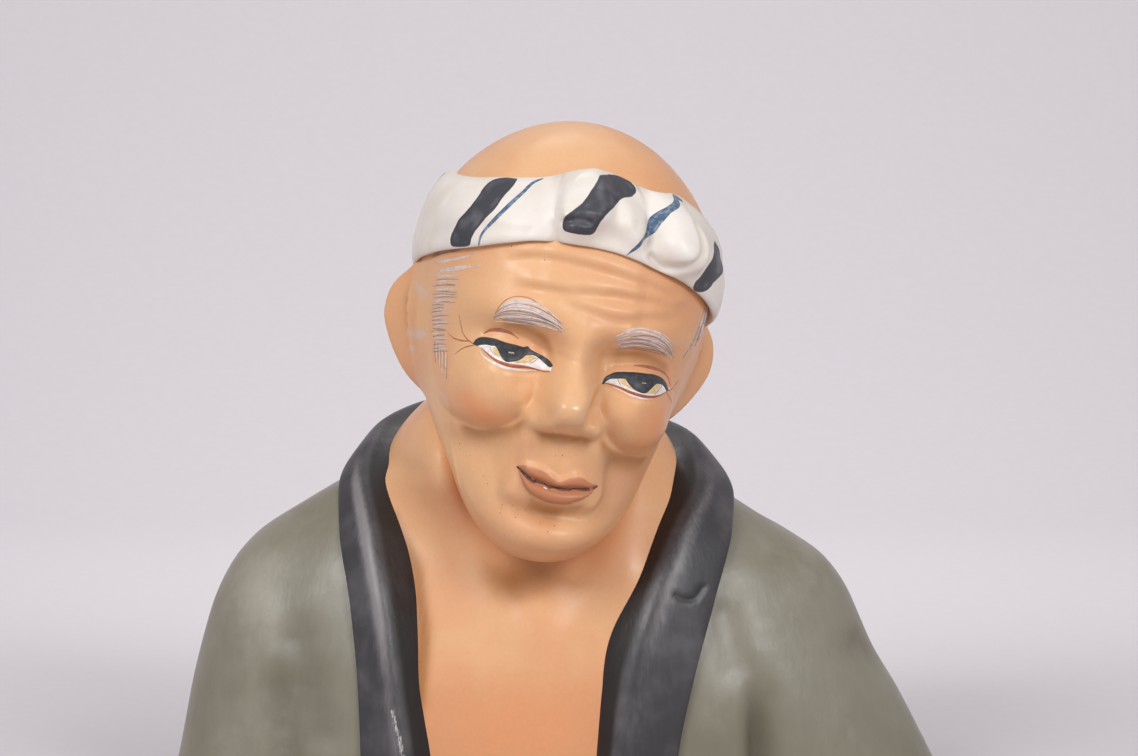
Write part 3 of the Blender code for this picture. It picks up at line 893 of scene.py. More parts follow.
    def skin(self, arc: Array, height: Array) -> Array:
        """The whole head: the plain form, the relief pushed forward, and the jaw to one side.

        Args:
            arc: Places on the arc round the head.
            height: Heights from the eyes.

        Returns:
            Points in the head's own frame.
        """
        bearing = np.radians(arc / ARC_PER_DEGREE)
        x, y, z = np.moveaxis(self.plain(bearing, height), -1, 0)
        front = smooth_step((np.cos(bearing) - 0.15) / 0.5) * smooth_step((21 - z) / 6)
        rise = self.relief(x, z, arc) * front
        wider = 0.35 * np.clip(rise, 0, None) * x / 15
        shift = self.jaw_shift * smooth_step((-3 - z) / 20) - 0.8 * smooth_step((-14 - z) / 8)
        out = 0.8 * mound(np.abs(arc), z, (26.6, -1.0), (3.4, 6.5), 0, 3)
        out += 0.6 * mound(arc, z, (-19.5, -11.5), (6.0, 5.5))
        out += 0.14 * on_path(arc, z, self.jaw_seam, 0.3, 24)
        return np.stack([x + wider + shift + out * np.sin(bearing), y - rise - out * np.cos(bearing), z], -1)

    def placed(self, points: Array) -> Array:
        """Points leaned, nodded and turned, and set over the body.

        Args:
            points: Points in the head's own frame.

        Returns:
            The points in the bust's frame.
        """
        lean, nod, turn = (math.radians(d) for d in (self.lean_deg, self.nod_deg, self.turn_deg))
        leaning = np.array([
            [math.cos(lean), 0, math.sin(lean)], [0, 1, 0], [-math.sin(lean), 0, math.cos(lean)],
        ])
        nodding = np.array([
            [1, 0, 0], [0, math.cos(nod), -math.sin(nod)], [0, math.sin(nod), math.cos(nod)],
        ])
        turning = np.array([
            [math.cos(turn), -math.sin(turn), 0], [math.sin(turn), math.cos(turn), 0], [0, 0, 1],
        ])
        return points @ (leaning @ nodding @ turning).T + np.array(self.place)

    def at(self, arc: Array, height: Array) -> tuple[Array, Array]:
        """Where the skin is, and which way it faces, in the bust's frame.

        Args:
            arc: Places on the arc round the head.
            height: Heights from the eyes.

        Returns:
            The points and their outward unit normals, by small steps along both.
        """
        step = 0.02
        point = self.placed(self.skin(arc, height))
        over = self.placed(self.skin(arc + step, height)) - self.placed(self.skin(arc - step, height))
        up = self.placed(self.skin(arc, height + step)) - self.placed(self.skin(arc, height - step))
        return point, unit(np.cross(over, up))

    def ear(self, side: int) -> Shell:
        """A dished oval that stands out from the head: a lens with a rim, a bowl and a lobe.

        Args:
            side: -1 for the bust's left in the picture, 1 for the right.

        Returns:
            The ear's shell.
        """
        bearing, latitude = np.meshgrid(
            np.linspace(-math.pi, math.pi, 84, endpoint=False), np.linspace(-1.52, 1.52, 56)
        )
        out, up = np.cos(latitude) * np.sin(bearing), np.sin(latitude)
        facing = np.cos(latitude) * np.cos(bearing)
        spread, height = self.ear_reach[0] * out * (1 + 0.16 * up), self.ear_reach[1] * up
        rim = np.sqrt(out**2 + up**2)
        dish = 0.9 * np.exp(-((((spread - 1.4) / 2.6) ** 2 + ((height - 0.6) / 4.6) ** 2) ** 1.3))
        dish += 0.9 * np.exp(-((((spread - 1.8) / 1.6) ** 2 + ((height - 2.9) / 1.5) ** 2) ** 1.2))
        lip = 0.35 * np.exp(-(((rim - 0.84) / 0.12) ** 2))
        thick = self.ear_thickness / 2 * facing + np.where(facing > 0, lip - dish, 0) + 0.03 * spread**2
        flare = math.radians(self.ear_flare_deg)
        out_by, back_by, up_by = self.ear_place
        x = out_by + spread * math.cos(flare) + thick * math.sin(flare) - 0.2 * np.clip(-height, 0, None)
        y = back_by + spread * math.sin(flare) - thick * math.cos(flare)
        level = height + up_by
        points = self.placed(np.stack([side * x, y, level], -1))
        arc = side * self.ear_bearing_deg * ARC_PER_DEGREE
        # The bowl's mark: painted shade in the ear's dish.
        bowl = 0.55 * dish * (facing > 0)
        return Shell.from_rings(points, Ends.POINT, {
            "arc": np.full_like(out, arc), "level": level, "bowl": bowl, "eared": np.ones_like(out),
        })

    def ball(self) -> Shell:
        """The head's own shell, its bearings and levels crowded together on the face.

        Returns:
            The shell, with each point's place on the head and marks that say it is no ear.
        """
        middle, half = (self.crown + self.chin) / 2, (self.crown - self.chin) / 2
        bearing, latitude = np.meshgrid(
            np.linspace(-math.pi, math.pi, self.bearings, endpoint=False),
            np.linspace(-math.pi / 2 + 0.01, math.pi / 2 - 0.01, self.levels),
        )
        arc = np.degrees(bearing - self.crowding[0] * np.sin(bearing)) * ARC_PER_DEGREE
        level = middle + half * np.sin(latitude - self.crowding[1] * np.sin(2 * latitude))
        return Shell.from_rings(self.placed(self.skin(arc, level)), Ends.POINT, {
            "arc": arc, "level": level, "bowl": np.zeros_like(arc), "eared": np.zeros_like(arc),
        })

    def joined(self) -> Shell:
        """The head and ears as one skin, with the crease where they meet smoothed away.

        Returns:
            The union, each point near the seam drawn towards its neighbours' middle.
        """
        shells = (self.ball(), self.ear(-1), self.ear(1))
        parts = [shown(f"part_{i}", shell.as_mesh(f"part_{i}")) for i, shell in enumerate(shells)]
        for ear in parts[1:]:
            change = parts[0].modifiers.new("join", "BOOLEAN")
            change.operation, change.solver, change.object = "UNION", "MANIFOLD", ear
        bpy.context.view_layer.update()
        whole = bpy.data.meshes.new_from_object(parts[0].evaluated_get(bpy.context.evaluated_depsgraph_get()))
        for part in parts:
            mesh = part.data
            bpy.data.objects.remove(part)
            bpy.data.meshes.remove(mesh)
        shell = self.read_back(whole)
        bpy.data.meshes.remove(whole)
        return shell

    def read_back(self, mesh: bpy.types.Mesh) -> Shell:
        """Read a joined mesh as a shell of triangles and smooth the seam.

        Args:
            mesh: The union, in metres.

        Returns:
            The shell, in millimetres.
        """
        mesh.calc_loop_triangles()
        points = np.empty(len(mesh.vertices) * 3, np.float32)
        mesh.vertices.foreach_get("co", points)
        points = points.reshape(-1, 3).astype(float) / MM
        corners = np.empty(len(mesh.loop_triangles) * 3, np.int32)
        mesh.loop_triangles.foreach_get("vertices", corners)
        pairs = np.empty(len(mesh.edges) * 2, np.int32)
        mesh.edges.foreach_get("vertices", pairs)
        one, other = pairs.reshape(-1, 2).T
        marks = {}
        for name in ("arc", "level", "bowl", "eared"):
            values = np.empty(len(points), np.float32)
            mesh.attributes[name].data.foreach_get("value", values)
            marks[name] = values.astype(float)
        size = len(points)
        count = np.maximum(np.bincount(one, minlength=size) + np.bincount(other, minlength=size), 1)

        def spread(values: Array) -> Array:
            """Each point's mean over its neighbours."""
            return (np.bincount(one, values[other], size) + np.bincount(other, values[one], size)) / count

        near = marks["eared"]
        for _ in range(self.seam_rounds[0]):
            near = 0.5 * near + 0.5 * spread(near)
        near = np.clip(4 * near * (1 - near), 0, 1) ** 0.7
        for _ in range(self.seam_rounds[1]):
            drawn = np.stack([spread(points[:, k]) for k in range(3)], -1)
            points = points + self.seam_pull * near[:, None] * (drawn - points)
        return Shell(points, np.zeros((0, 4), int), corners.reshape(-1, 3), marks)

    def hollows(self, arc: Array, level: Array) -> Array:
        """Painted shade: the brown sprayed into the creases round the features.

        Args:
            arc: Places on the arc round the head.
            level: Heights from the eyes.

        Returns:
            The shade: each line has its own reach above and below, each band one width.
        """
        painted_shade = np.zeros_like(arc)
        for path, above, below, depth in self.shaded_lines:
            run = curve_through(path, 24)
            over = level - np.interp(arc, run[:, 0], run[:, 1])
            ends = smooth_step((arc - run[0, 0] + 0.8) / 2.2) * smooth_step((run[-1, 0] + 0.8 - arc) / 2.2)
            painted_shade += depth * ends * np.exp(-((over / np.where(over > 0, above, below)) ** 2))
        for path, width, depth in self.shaded_bands:
            painted_shade += depth * on_path(arc, level, path, width)
        return painted_shade

    def frosting(self, arc: Array, level: Array, points: Array) -> Array:
        """The lilac under the brows and hair, and a few pale dabs by the left ear.

        Args:
            arc: Places on the arc round the head.
            level: Heights from the eyes.
            points: The same places in the bust's frame.

        Returns:
            The strength of the lilac at each place.
        """
        frost = 0.25 * mound(arc, level, (-8.8, -15.0), (1.6, 0.8), 20)
        for edge, strength in self.frosted:
            middle = np.mean(edge, 0)
            near = np.hypot(arc - middle[0], level - middle[1]) < self.measured_within
            inside = inside_by(arc[near], level[near], np.array(edge))
            frost[near] = np.maximum(frost[near], strength * smooth_step(inside / 0.7 + 0.25))
        x, y, z = points.T
        front = y < 4
        frost += front * 0.75 * mound(x, z, (-17.0, 53.2), (1.5, 0.7), 15, 2.5)
        dabs = ((1, (-17.7, 51.4), (0.35, 0.4)), (0.7, (-16.6, 58.2), (1.4, 0.7), -50))
        frost += front * mounds(x, z, dabs)
        return frost

    def painted(self) -> Shell:
        """The joined head with its soft colours worked out on the points.

        Returns:
            The shell with marks for painted shade in the creases, glow, warmth with painted shade, lips,
            lilac and polish.
        """
        shell = self.joined()
        arc, level, eared = (shell.marks[name] for name in ("arc", "level", "eared"))
        # Painted shade: the skin warmer and darker down the right side of the face and under the chin.
        warmth_and_shade = 0.5 * smooth_step((arc - 2) / 9) + 0.4 * smooth_step((-17 - level) / 4)
        outline = np.vstack([curve_through(self.upper_lip, 80), curve_through(self.lower_lip, 80)[::-1]])
        near = np.hypot(arc, level + 13) < self.measured_within
        lip = np.full_like(arc, -1.0)
        lip[near] = inside_by(arc[near], level[near], outline)
        off_ear = 1 - smooth_step(eared)
        # Painted shade in the creases round the features and in each ear's dish.
        painted_shade = self.hollows(arc, level) * off_ear + 0.8 * shell.marks["bowl"]
        shell.marks = {
            "painted_shade": np.clip(painted_shade, 0, 1.2), "glow": mounds(arc, level, self.blushes_and_shade) * off_ear,
            "warmth_and_shade": np.clip(warmth_and_shade * off_ear + 0.4 * eared, 0, 1), "lip": lip,
            "frost": self.frosting(arc, level, shell.points), "polish": mounds(arc, level, self.sheen),
        }
        return shell

    def build(self) -> None:
        """Make the head's piece."""
        self.painted().as_piece("head", SKIN)


@dataclass(frozen=True)
class Fill:
    """A shape filled with paint: its edges as (arc, height) and how far the paint stands off."""

    upper: Table
    lower: Table
    film: float
    count: int = 40
    rows: int = 7


@dataclass(frozen=True)
class Pull:
    """One pull of the brush: its path, its widths from start to end and how far it stands off."""

    path: Table
    widths: tuple
    film: float
    count: int = 26


@dataclass
class BrushWork:
    """Everything drawn on the face: each mark is a thin pillow of paint that follows the skin."""

    head: Head
    # For each piece its finish and its marks, all places as (arc, height).
    eye_marks: tuple = (
        ("eye_whites", WHITE, (
            Fill(
                ((-11.7, 0.0), (-10.4, 0.6), (-8, 0.7), (-5.4, 0.6), (-3.6, 0.3), (-2.75, -0.3)),
                ((-11.7, -0.1), (-10.6, -0.36), (-9.1, -0.8), (-6.5, -0.9), (-4.2, -1.0), (-2.8, -0.7)), 0.02,
            ),
            Fill(
                ((4.1, -0.9), (5.2, -0.1), (7.6, 0.2), (10.2, 0.1), (12.2, -0.7), (13.2, -1.32)),
                ((4.1, -1.1), (5.2, -1.2), (7.6, -1.5), (9.8, -1.62), (11.8, -1.55), (13.2, -1.4)), 0.02,
            ),
            Pull(
                ((-11.5, -0.41), (-10.81, -0.84), (-9.92, -1.06), (-9.03, -1.21), (-8.05, -1.35),
                 (-6.96, -1.37), (-5.87, -1.35), (-4.4, -1.15)),
                (0.05, 0.25, 0.36, 0.4, 0.36, 0.3, 0.06), 0.035,
            ),
            Pull(
                ((5.2, -1.38), (6.27, -1.6), (7.26, -1.82), (8.24, -1.92), (9.13, -1.96), (10.3, -1.93)),
                (0.04, 0.2, 0.28, 0.26, 0.05), 0.035,
            ),
            Pull(((13.45, -1.3), (13.9, -1.12)), (0.16, 0.2), 0.05, 8),
        )),
        ("eye_ochre", GOLD, (
            Fill(
                ((-9.9, 0.15), (-9.4, 0.5), (-7.2, 0.5), (-5.2, 0.4), (-4.45, 0.2)),
                ((-9.85, 0.1), (-9.2, -0.42), (-7.6, -0.66), (-6.2, -0.6), (-5.5, -0.42)), 0.04,
            ),
            Fill(
                ((5.75, -0.4), (6.3, -0.2), (8.6, 0), (10.8, -0.3), (11.4, -0.55)),
                ((5.95, -0.75), (6.6, -1.02), (8.5, -1.42), (10.1, -1.4), (10.5, -1.36)), 0.04,
            ),
        )),
        ("eye_lids", RUST, (
            Pull(
                ((-11.3, -0.1), (-10.61, -0.33), (-9.92, -0.57), (-9.13, -0.8), (-8.24, -0.92),
                 (-7.35, -0.97), (-6.47, -0.94), (-5.48, -0.92), (-4.49, -0.98), (-3.6, -1.03),
                 (-2.9, -0.82)),
                (0.08, 0.2, 0.3, 0.42, 0.46, 0.4, 0.22, 0.12, 0.1), 0.06, 44,
            ),
            Pull(
                ((3.95, -1.12), (4.89, -1.13), (5.97, -1.24), (7.06, -1.46), (8.14, -1.6), (9.23, -1.7),
                 (10.41, -1.68), (11.8, -1.58), (13.1, -1.38)),
                (0.06, 0.16, 0.26, 0.36, 0.4, 0.34, 0.24, 0.12), 0.06, 44,
            ),
            Pull(((-10.25, 0.28), (-9.85, -0.1), (-9.3, -0.35)), (0.07, 0.09, 0.05), 0.065, 14),
            Pull(((-4.35, 0.2), (-4.75, -0.2), (-5.4, -0.5)), (0.07, 0.09, 0.05), 0.065, 14),
            Pull(((5.5, -0.35), (5.75, -0.7), (6.0, -0.98)), (0.07, 0.09, 0.05), 0.065, 14),
            Pull(((11.8, -0.5), (11.2, -0.95), (10.4, -1.42)), (0.07, 0.09, 0.05), 0.065, 14),
        )),
        ("eye_creases", RUST_PALE, (
            Pull(((-11.2, 1.25), (-10.41, 1.84), (-9.62, 2.12), (-8.74, 2.21), (-7.85, 2.12),
                  (-6.9, 1.72)), (0.1, 0.42, 0.56, 0.5, 0.36, 0.06), 0.05),
            Pull(((7.3, 1.15), (8.44, 1.22), (9.62, 1.15), (10.91, 0.92), (12.09, 0.54),
                  (13.18, -0.04), (14.1, -0.95)), (0.1, 0.46, 0.54, 0.44, 0.3, 0.18, 0.05), 0.05),
            Pull(((-12.2, -0.1), (-13.2, 0.1), (-13.97, 0.61), (-14.4, 1.45), (-14.9, 2.5)),
                 (0.2, 0.2, 0.17, 0.12, 0.04), 0.03),
            Pull(((-12.9, 0.08), (-14.17, -0.26), (-15.45, -0.33), (-16.44, -0.04)),
                 (0.14, 0.24, 0.2, 0.05), 0.03),
            Pull(((-12.29, -0.19), (-13.28, -0.62), (-14.26, -1.28), (-14.95, -1.93)),
                 (0.14, 0.19, 0.15, 0.04), 0.03),
            Pull(((13.5, -1.4), (14.66, -1.35), (15.65, -0.91), (16.2, -0.5)),
                 (0.14, 0.17, 0.13, 0.04), 0.03),
            Pull(((14.5, -1.25), (15.4, -1.45), (16.34, -1.75)), (0.08, 0.09, 0.03), 0.02),
            Pull(((13.0, -1.45), (14.07, -2.08), (14.8, -2.5), (15.6, -3.0)),
                 (0.14, 0.18, 0.14, 0.04), 0.03),
        )),
        ("eye_ink", INK, (
            Fill(
                ((-12.45, -0.1), (-12.2, 0.39), (-11.6, 0.83), (-10.81, 1.05), (-9.72, 1.19),
                 (-8.44, 1.12), (-7.26, 1.12), (-6.27, 1.05), (-5.77, 1.19), (-5.28, 0.92), (-4.29, 0.61),
                 (-3.41, 0.39), (-2.91, 0.17), (-2.6, -0.1)),
                ((-12.45, -0.1), (-11.89, -0.12), (-11.4, 0.1), (-10.71, 0.32), (-10.12, 0.39),
                 (-9.53, 0.46), (-9.13, 0.1), (-8.64, -0.41), (-8.05, -0.7), (-7.35, -0.58),
                 (-6.76, -0.41), (-6.27, -0.12), (-5.87, 0.25), (-5.18, 0.39), (-4.69, 0.32), (-4.0, 0.03),
                 (-3.01, -0.4), (-2.6, -0.1)),
                0.085, 110, 11,
            ),
            Fill(
                ((3.75, -1.15), (4.0, -0.55), (4.59, -0.12), (5.28, 0.25), (6.37, 0.46), (7.65, 0.61),
                 (8.93, 0.61), (10.02, 0.54), (11.01, 0.32), (11.99, -0.04), (12.88, -0.62), (13.45, -1.3)),
                ((3.75, -1.15), (4.0, -1.25), (4.29, -0.91), (4.79, -0.58), (5.48, -0.41), (6.47, -0.26),
                 (6.76, -0.62), (7.35, -1.06), (7.85, -1.25), (8.64, -1.4), (9.13, -1.3), (9.62, -0.91),
                 (10.22, -0.55), (10.61, -0.41), (11.3, -0.48), (11.89, -0.62), (12.39, -0.91),
                 (13.1, -1.42), (13.45, -1.3)),
                0.085, 110, 11,
            ),
        )),
        # A painted highlight on each pupil.
        ("eye_lights", PAINTED_PUPIL_HIGHLIGHT, (
            Pull(((-7.95, 0.22), (-7.3, 0.26)), (0.3, 0.36), 0.12, 8),
            Pull(((8.3, -0.36), (8.85, -0.36)), (0.18, 0.22), 0.12, 8),
        )),
    )
    lip_line: Pull = Pull(
        ((-6.2, -11.95), (-5.2, -12.46), (-4.1, -12.88), (-2.71, -13.06), (-1.23, -13.19),
         (0.25, -13.22), (1.92, -13.15), (3.6, -13.06), (5.18, -12.88), (6.3, -12.42)),
        (0.25, 0.42, 0.46, 0.38, 0.28, 0.24, 0.2, 0.18, 0.12), 0.2, 60,
    )
    lip_glints: tuple = (
        Pull(((-4.1, -12.78), (-3.4, -12.96), (-2.7, -13.0)), (0.04, 0.13, 0.04), 0.14, 10),
        Pull(((-2.3, -13.3), (-1.8, -13.42)), (0.13, 0.1), 0.1, 8),
    )
    hair_film: float = 0.045
    edge_sunk: float = 0.02
    back_sunk: float = 0.05
    # Brows: the lower and upper edge, and each hair's colour: white, grey or brown.
    brow_bands: tuple = (
        (((-10.5, 3.1), (-8.7, 3.5), (-6.3, 3.75), (-4.6, 3.85), (-2.9, 3.75), (-1.9, 3.6)),
         ((-10.2, 3.9), (-9.5, 5.4), (-8.3, 6.4), (-6.6, 6.7), (-5.0, 6.2), (-3.2, 5.2), (-1.8, 3.9)),
         "wgwgwwbgwwwbwwb"),
        (((4.1, 2.6), (6.2, 3.15), (8.1, 3.2), (10.4, 2.8), (12.9, 1.9)),
         ((3.5, 4.5), (5.3, 5.5), (7.0, 5.8), (9.2, 5.4), (11.7, 4.0), (13.6, 1.9)), "bgwgwwgwbwwww"),
    )
    # Bands of hair over the left temple: places, breadth and colour.
    temple_bands: tuple = (
        (((-23.0, 6.9), (-19.4, 8.4), (-16.0, 9.6)), 0.5, "b"),
        (((-21.4, 6.6), (-18.02, 7.8), (-13.57, 9.69)), 0.34, "w"),
        (((-20.6, 5.9), (-16.73, 7.2), (-12.98, 8.6)), 0.34, "w"),
    )
    specks: Table = (
        (-7.55, -16.46), (-6.96, -17.62), (-4.98, -16.67), (-3.11, -15.8), (-0.84, -16.31), (-0.05, -16.38),
        (0.25, -9.56), (-0.74, -9.7), (-10.22, -17.62), (-9.82, -17.04), (-9.53, -16.67), (-15.45, -11.95),
        (-8.74, 2.21), (-12.29, -14.28), (-11.89, -14.93), (-10.02, -19.94), (-0.15, -18.27), (-1.63, -6.8),
        (-0.84, -6.65), (-10.02, 11.5), (-5.87, 10.92), (1.04, -17.62), (-1.92, -17.62), (-13.87, -12.75),
    )

    def pillow(self, upper: Array, lower: Array, film: float, rows: int = 5) -> Shell:
        """A film of paint between two lines on the skin.

        Args:
            upper: The upper edge as (arc, height) places.
            lower: The lower edge, with as many places.
            film: How far the middle stands off the skin; the edges sink into it.
            rows: How many rows there are from edge to edge.

        Returns:
            The closed film: over the skin and back through it.
        """
        turn = np.linspace(0, math.pi, rows)[None, :, None]
        share = 0.5 - 0.5 * np.cos(turn)
        places = upper[:, None] * (1 - share) + lower[:, None] * share
        point, facing = self.head.at(places[..., 0], places[..., 1])
        bulge = np.clip(np.sin(turn), 0, 1) ** 0.5 * (film + self.edge_sunk) - self.edge_sunk
        over = point + facing * bulge
        under = point - facing * self.back_sunk
        return Shell.from_rings(np.concatenate([over, under[:, ::-1]], 1), Ends.POINT)

    def stroke(
        self, path: Table, widths: tuple, film: float, count: int = 26, shift: Array | float = 0,
    ) -> Shell:
        """One pull of the brush: a band about a path, as wide as the table of widths.

        Args:
            path: The places passed, as (arc, height).
            widths: Widths in millimetres, spaced evenly from start to end.
            film: How far the paint stands off.
            count: How many places along it.
            shift: How far to one side the whole stroke is moved, in millimetres.

        Returns:
            The stroke's shell.
        """
        middle = curve_through(path, count)
        step = 0.05
        here = self.head.skin(middle[:, 0], middle[:, 1])
        scale = np.stack([
            np.linalg.norm(self.head.skin(middle[:, 0] + step, middle[:, 1]) - here, axis=-1) / step,
            np.linalg.norm(self.head.skin(middle[:, 0], middle[:, 1] + step) - here, axis=-1) / step,
        ], -1)
        run = unit(np.gradient(middle, axis=0) * scale, 1e-9)
        beside = np.stack([-run[:, 1], run[:, 0]], -1) / scale
        width = np.interp(np.linspace(0, 1, count), np.linspace(0, 1, len(widths)), widths)[:, None]
        middle = middle + beside * np.broadcast_to(np.asarray(shift, float), (count,))[:, None]
        return self.pillow(middle + beside * width / 2, middle - beside * width / 2, film, 4)

    def strands(self, path: Table, width: float, count: int, seed: int, thick: float = 0.13) -> Shell:
        """A band of hair-fine strokes side by side, each wandering a little.

        Args:
            path: The middle of the band.
            width: The band's breadth.
            count: How many hairs.
            seed: Which wander.
            thick: A hair's width.

        Returns:
            All the hairs as one shell.
        """
        dice = np.random.default_rng(seed)
        hairs = []
        for i in range(count):
            across = width * ((i + 0.5) / count - 0.5)
            along = np.linspace(0, 1, 26)
            wander = 0.16 * width * np.sin(along * dice.uniform(3, 7) + dice.uniform(0, 6))
            pinch = 0.55 + 0.45 * np.sin(math.pi * np.clip(along, 0.05, 0.95))
            size = thick * dice.uniform(0.75, 1.25)
            tip = dice.uniform(0.02, 0.1)
            start, end = dice.uniform(0, 0.12), dice.uniform(0.88, 1.0)
            whole = curve_through(path, 60)
            cut = whole[int(start * 59): int(end * 59) + 1]
            hairs.append(self.stroke(
                tuple(map(tuple, cut)), (tip, size, size, 0.8 * size, tip / 2), self.hair_film, 26,
                across * pinch + wander,
            ))
        return Shell.gathered(hairs)

    def draw(self, mark: Fill | Pull) -> Shell:
        """Lay one mark on the face.

        Args:
            mark: The shape to fill or the pull to make.

        Returns:
            Its film.
        """
        if isinstance(mark, Pull):
            return self.stroke(mark.path, mark.widths, mark.film, mark.count)
        edges = (curve_through(edge, mark.count) for edge in (mark.upper, mark.lower))
        return self.pillow(*edges, mark.film, mark.rows)

    def eyes(self) -> Films:
        """Both eyes: white, ochre iris, lids, ink lid line with the pupil hanging from it, and a painted
        highlight on each pupil.

        Returns:
            For each piece its finish and its films.
        """
        return {
            name: (finish, [self.draw(mark) for mark in marks]) for name, finish, marks in self.eye_marks
        }

    def brow_hairs(self, dice: np.random.Generator, colours: Hairs) -> None:
        """Lay the hairs of both eyebrows between their lower and upper edges.

        Args:
            dice: The source of wander.
            colours: For each letter the list its films go to and a hair's width.
        """
        for low, high, order in self.brow_bands:
            lower, upper = curve_through(low, 60), curve_through(high, 60)
            for share, colour in zip(np.linspace(0, 1, len(order)), order):
                home, wide = colours[colour]
                start, end = int(60 * dice.uniform(0, 0.16)), int(60 * dice.uniform(0.86, 1))
                path = (lower * (1 - share) + upper * share)[start:end:4]
                along = np.linspace(0, dice.uniform(3, 7), len(path))
                path[:, 1] += 0.12 * np.sin(along + dice.uniform(0, 6))
                widths = (0.04, wide, wide, 0.8 * wide, 0.03)
                home.append(self.stroke(tuple(map(tuple, path)), widths, self.hair_film, 30))

    def left_temple(self, dice: np.random.Generator, colours: Hairs) -> None:
        """Lay the left temple's hair: short level pulls, a fringe below and three bands above.

        Args:
            dice: The source of wander.
            colours: For each letter the list its films go to and a hair's width.
        """
        for i, level in enumerate(np.linspace(5.2, -3.0, 40)):
            start = -20.4 + 0.14 * max(0, 2 - level) + dice.uniform(-0.3, 0.4)
            reach = (4.3 if level > 2.4 else 3.1) + dice.uniform(-0.8, 0.6)
            rise = 0.26 * reach + dice.uniform(-0.15, 0.25)
            home, wide = colours["wbwg"[i % 4]]
            path = ((start, level), (start + reach / 2, level + 0.55 * rise), (start + reach, level + rise))
            home.append(self.stroke(path, (0.05, 0.85 * wide, 0.7 * wide, 0.03), self.hair_film, 16))
        for i in range(9):
            start, level = -19.2 + 0.36 * i, -1.6 - dice.uniform(0, 1.2)
            home, wide = colours["gw"[i % 2]]
            path = ((start, level), (start + 0.3, level - dice.uniform(1.4, 2.4)))
            home.append(self.stroke(path, (0.05, 0.8 * wide, 0.04), self.hair_film, 10))
        for path, width, colour in self.temple_bands:
            home = colours[colour][0]
            home.append(self.strands(path, width, 4, len(home), 0.14))

    def right_temple(self, dice: np.random.Generator, colours: Hairs) -> None:
        """Lay the right temple's hair: steep hairs that lean outward.

        Args:
            dice: The source of wander.
            colours: For each letter the list its films go to and a hair's width.
        """
        for i in range(22):
            over = 3.8 * (i % 11) / 10 + dice.uniform(-0.15, 0.15)
            low, high = 2.2 + 0.5 * over + dice.uniform(0, 2.4), 5.6 + 0.25 * over + dice.uniform(0, 2.6)
            home, wide = colours["gwgwb"[i % 5]]
            path = tuple(
                (15.0 + over * (1 - 0.35 * t) + 0.45 * (level - 2.2), level)
                for level, t in ((low, 0), ((low + high) / 2, 0.5), (high, 1))
            )
            home.append(self.stroke(path, (0.04, 0.8 * wide, 0.7 * wide, 0.03), self.hair_film, 14))

    def brows(self) -> Films:
        """Both eyebrows and the hair at the temples, in three colours of fine hairs.

        Returns:
            For each piece its finish and its films.
        """
        light, grey, brown = [], [], []
        dice = np.random.default_rng(8)
        colours = {"w": (light, 0.19), "g": (grey, 0.14), "b": (brown, 0.1)}
        self.brow_hairs(dice, colours)
        self.left_temple(dice, colours)
        self.right_temple(dice, colours)
        return {"hair_light": (LILAC, light), "hair_grey": (GREY, grey), "hair_brown": (BROWN, brown)}

    def mouth_and_pits(self) -> Films:
        """The line between the lips, the glints on it, and the pinholes of the firing.

        Returns:
            For each piece its finish and its films.
        """
        dice = np.random.default_rng(4)
        holes = [
            self.stroke(((arc - 0.05, level), (arc + 0.06, level - 0.03)), (size, size), 0.015, 6)
            for (arc, level), size in zip(self.specks, dice.uniform(0.1, 0.2, len(self.specks)))
        ]
        glints = [self.draw(mark) for mark in self.lip_glints]
        return {
            "lip_line": (MOUTH_DARK, [self.draw(self.lip_line)]), "pinholes": (PIT, holes),
            "lip_glints": (WHITE, glints),
        }

    def build(self) -> None:
        """Make a piece for each colour of the brush."""
        for work in (self.eyes(), self.brows(), self.mouth_and_pits()):
            for name, (finish, films) in work.items():
                Shell.gathered(films).as_piece(name, finish)


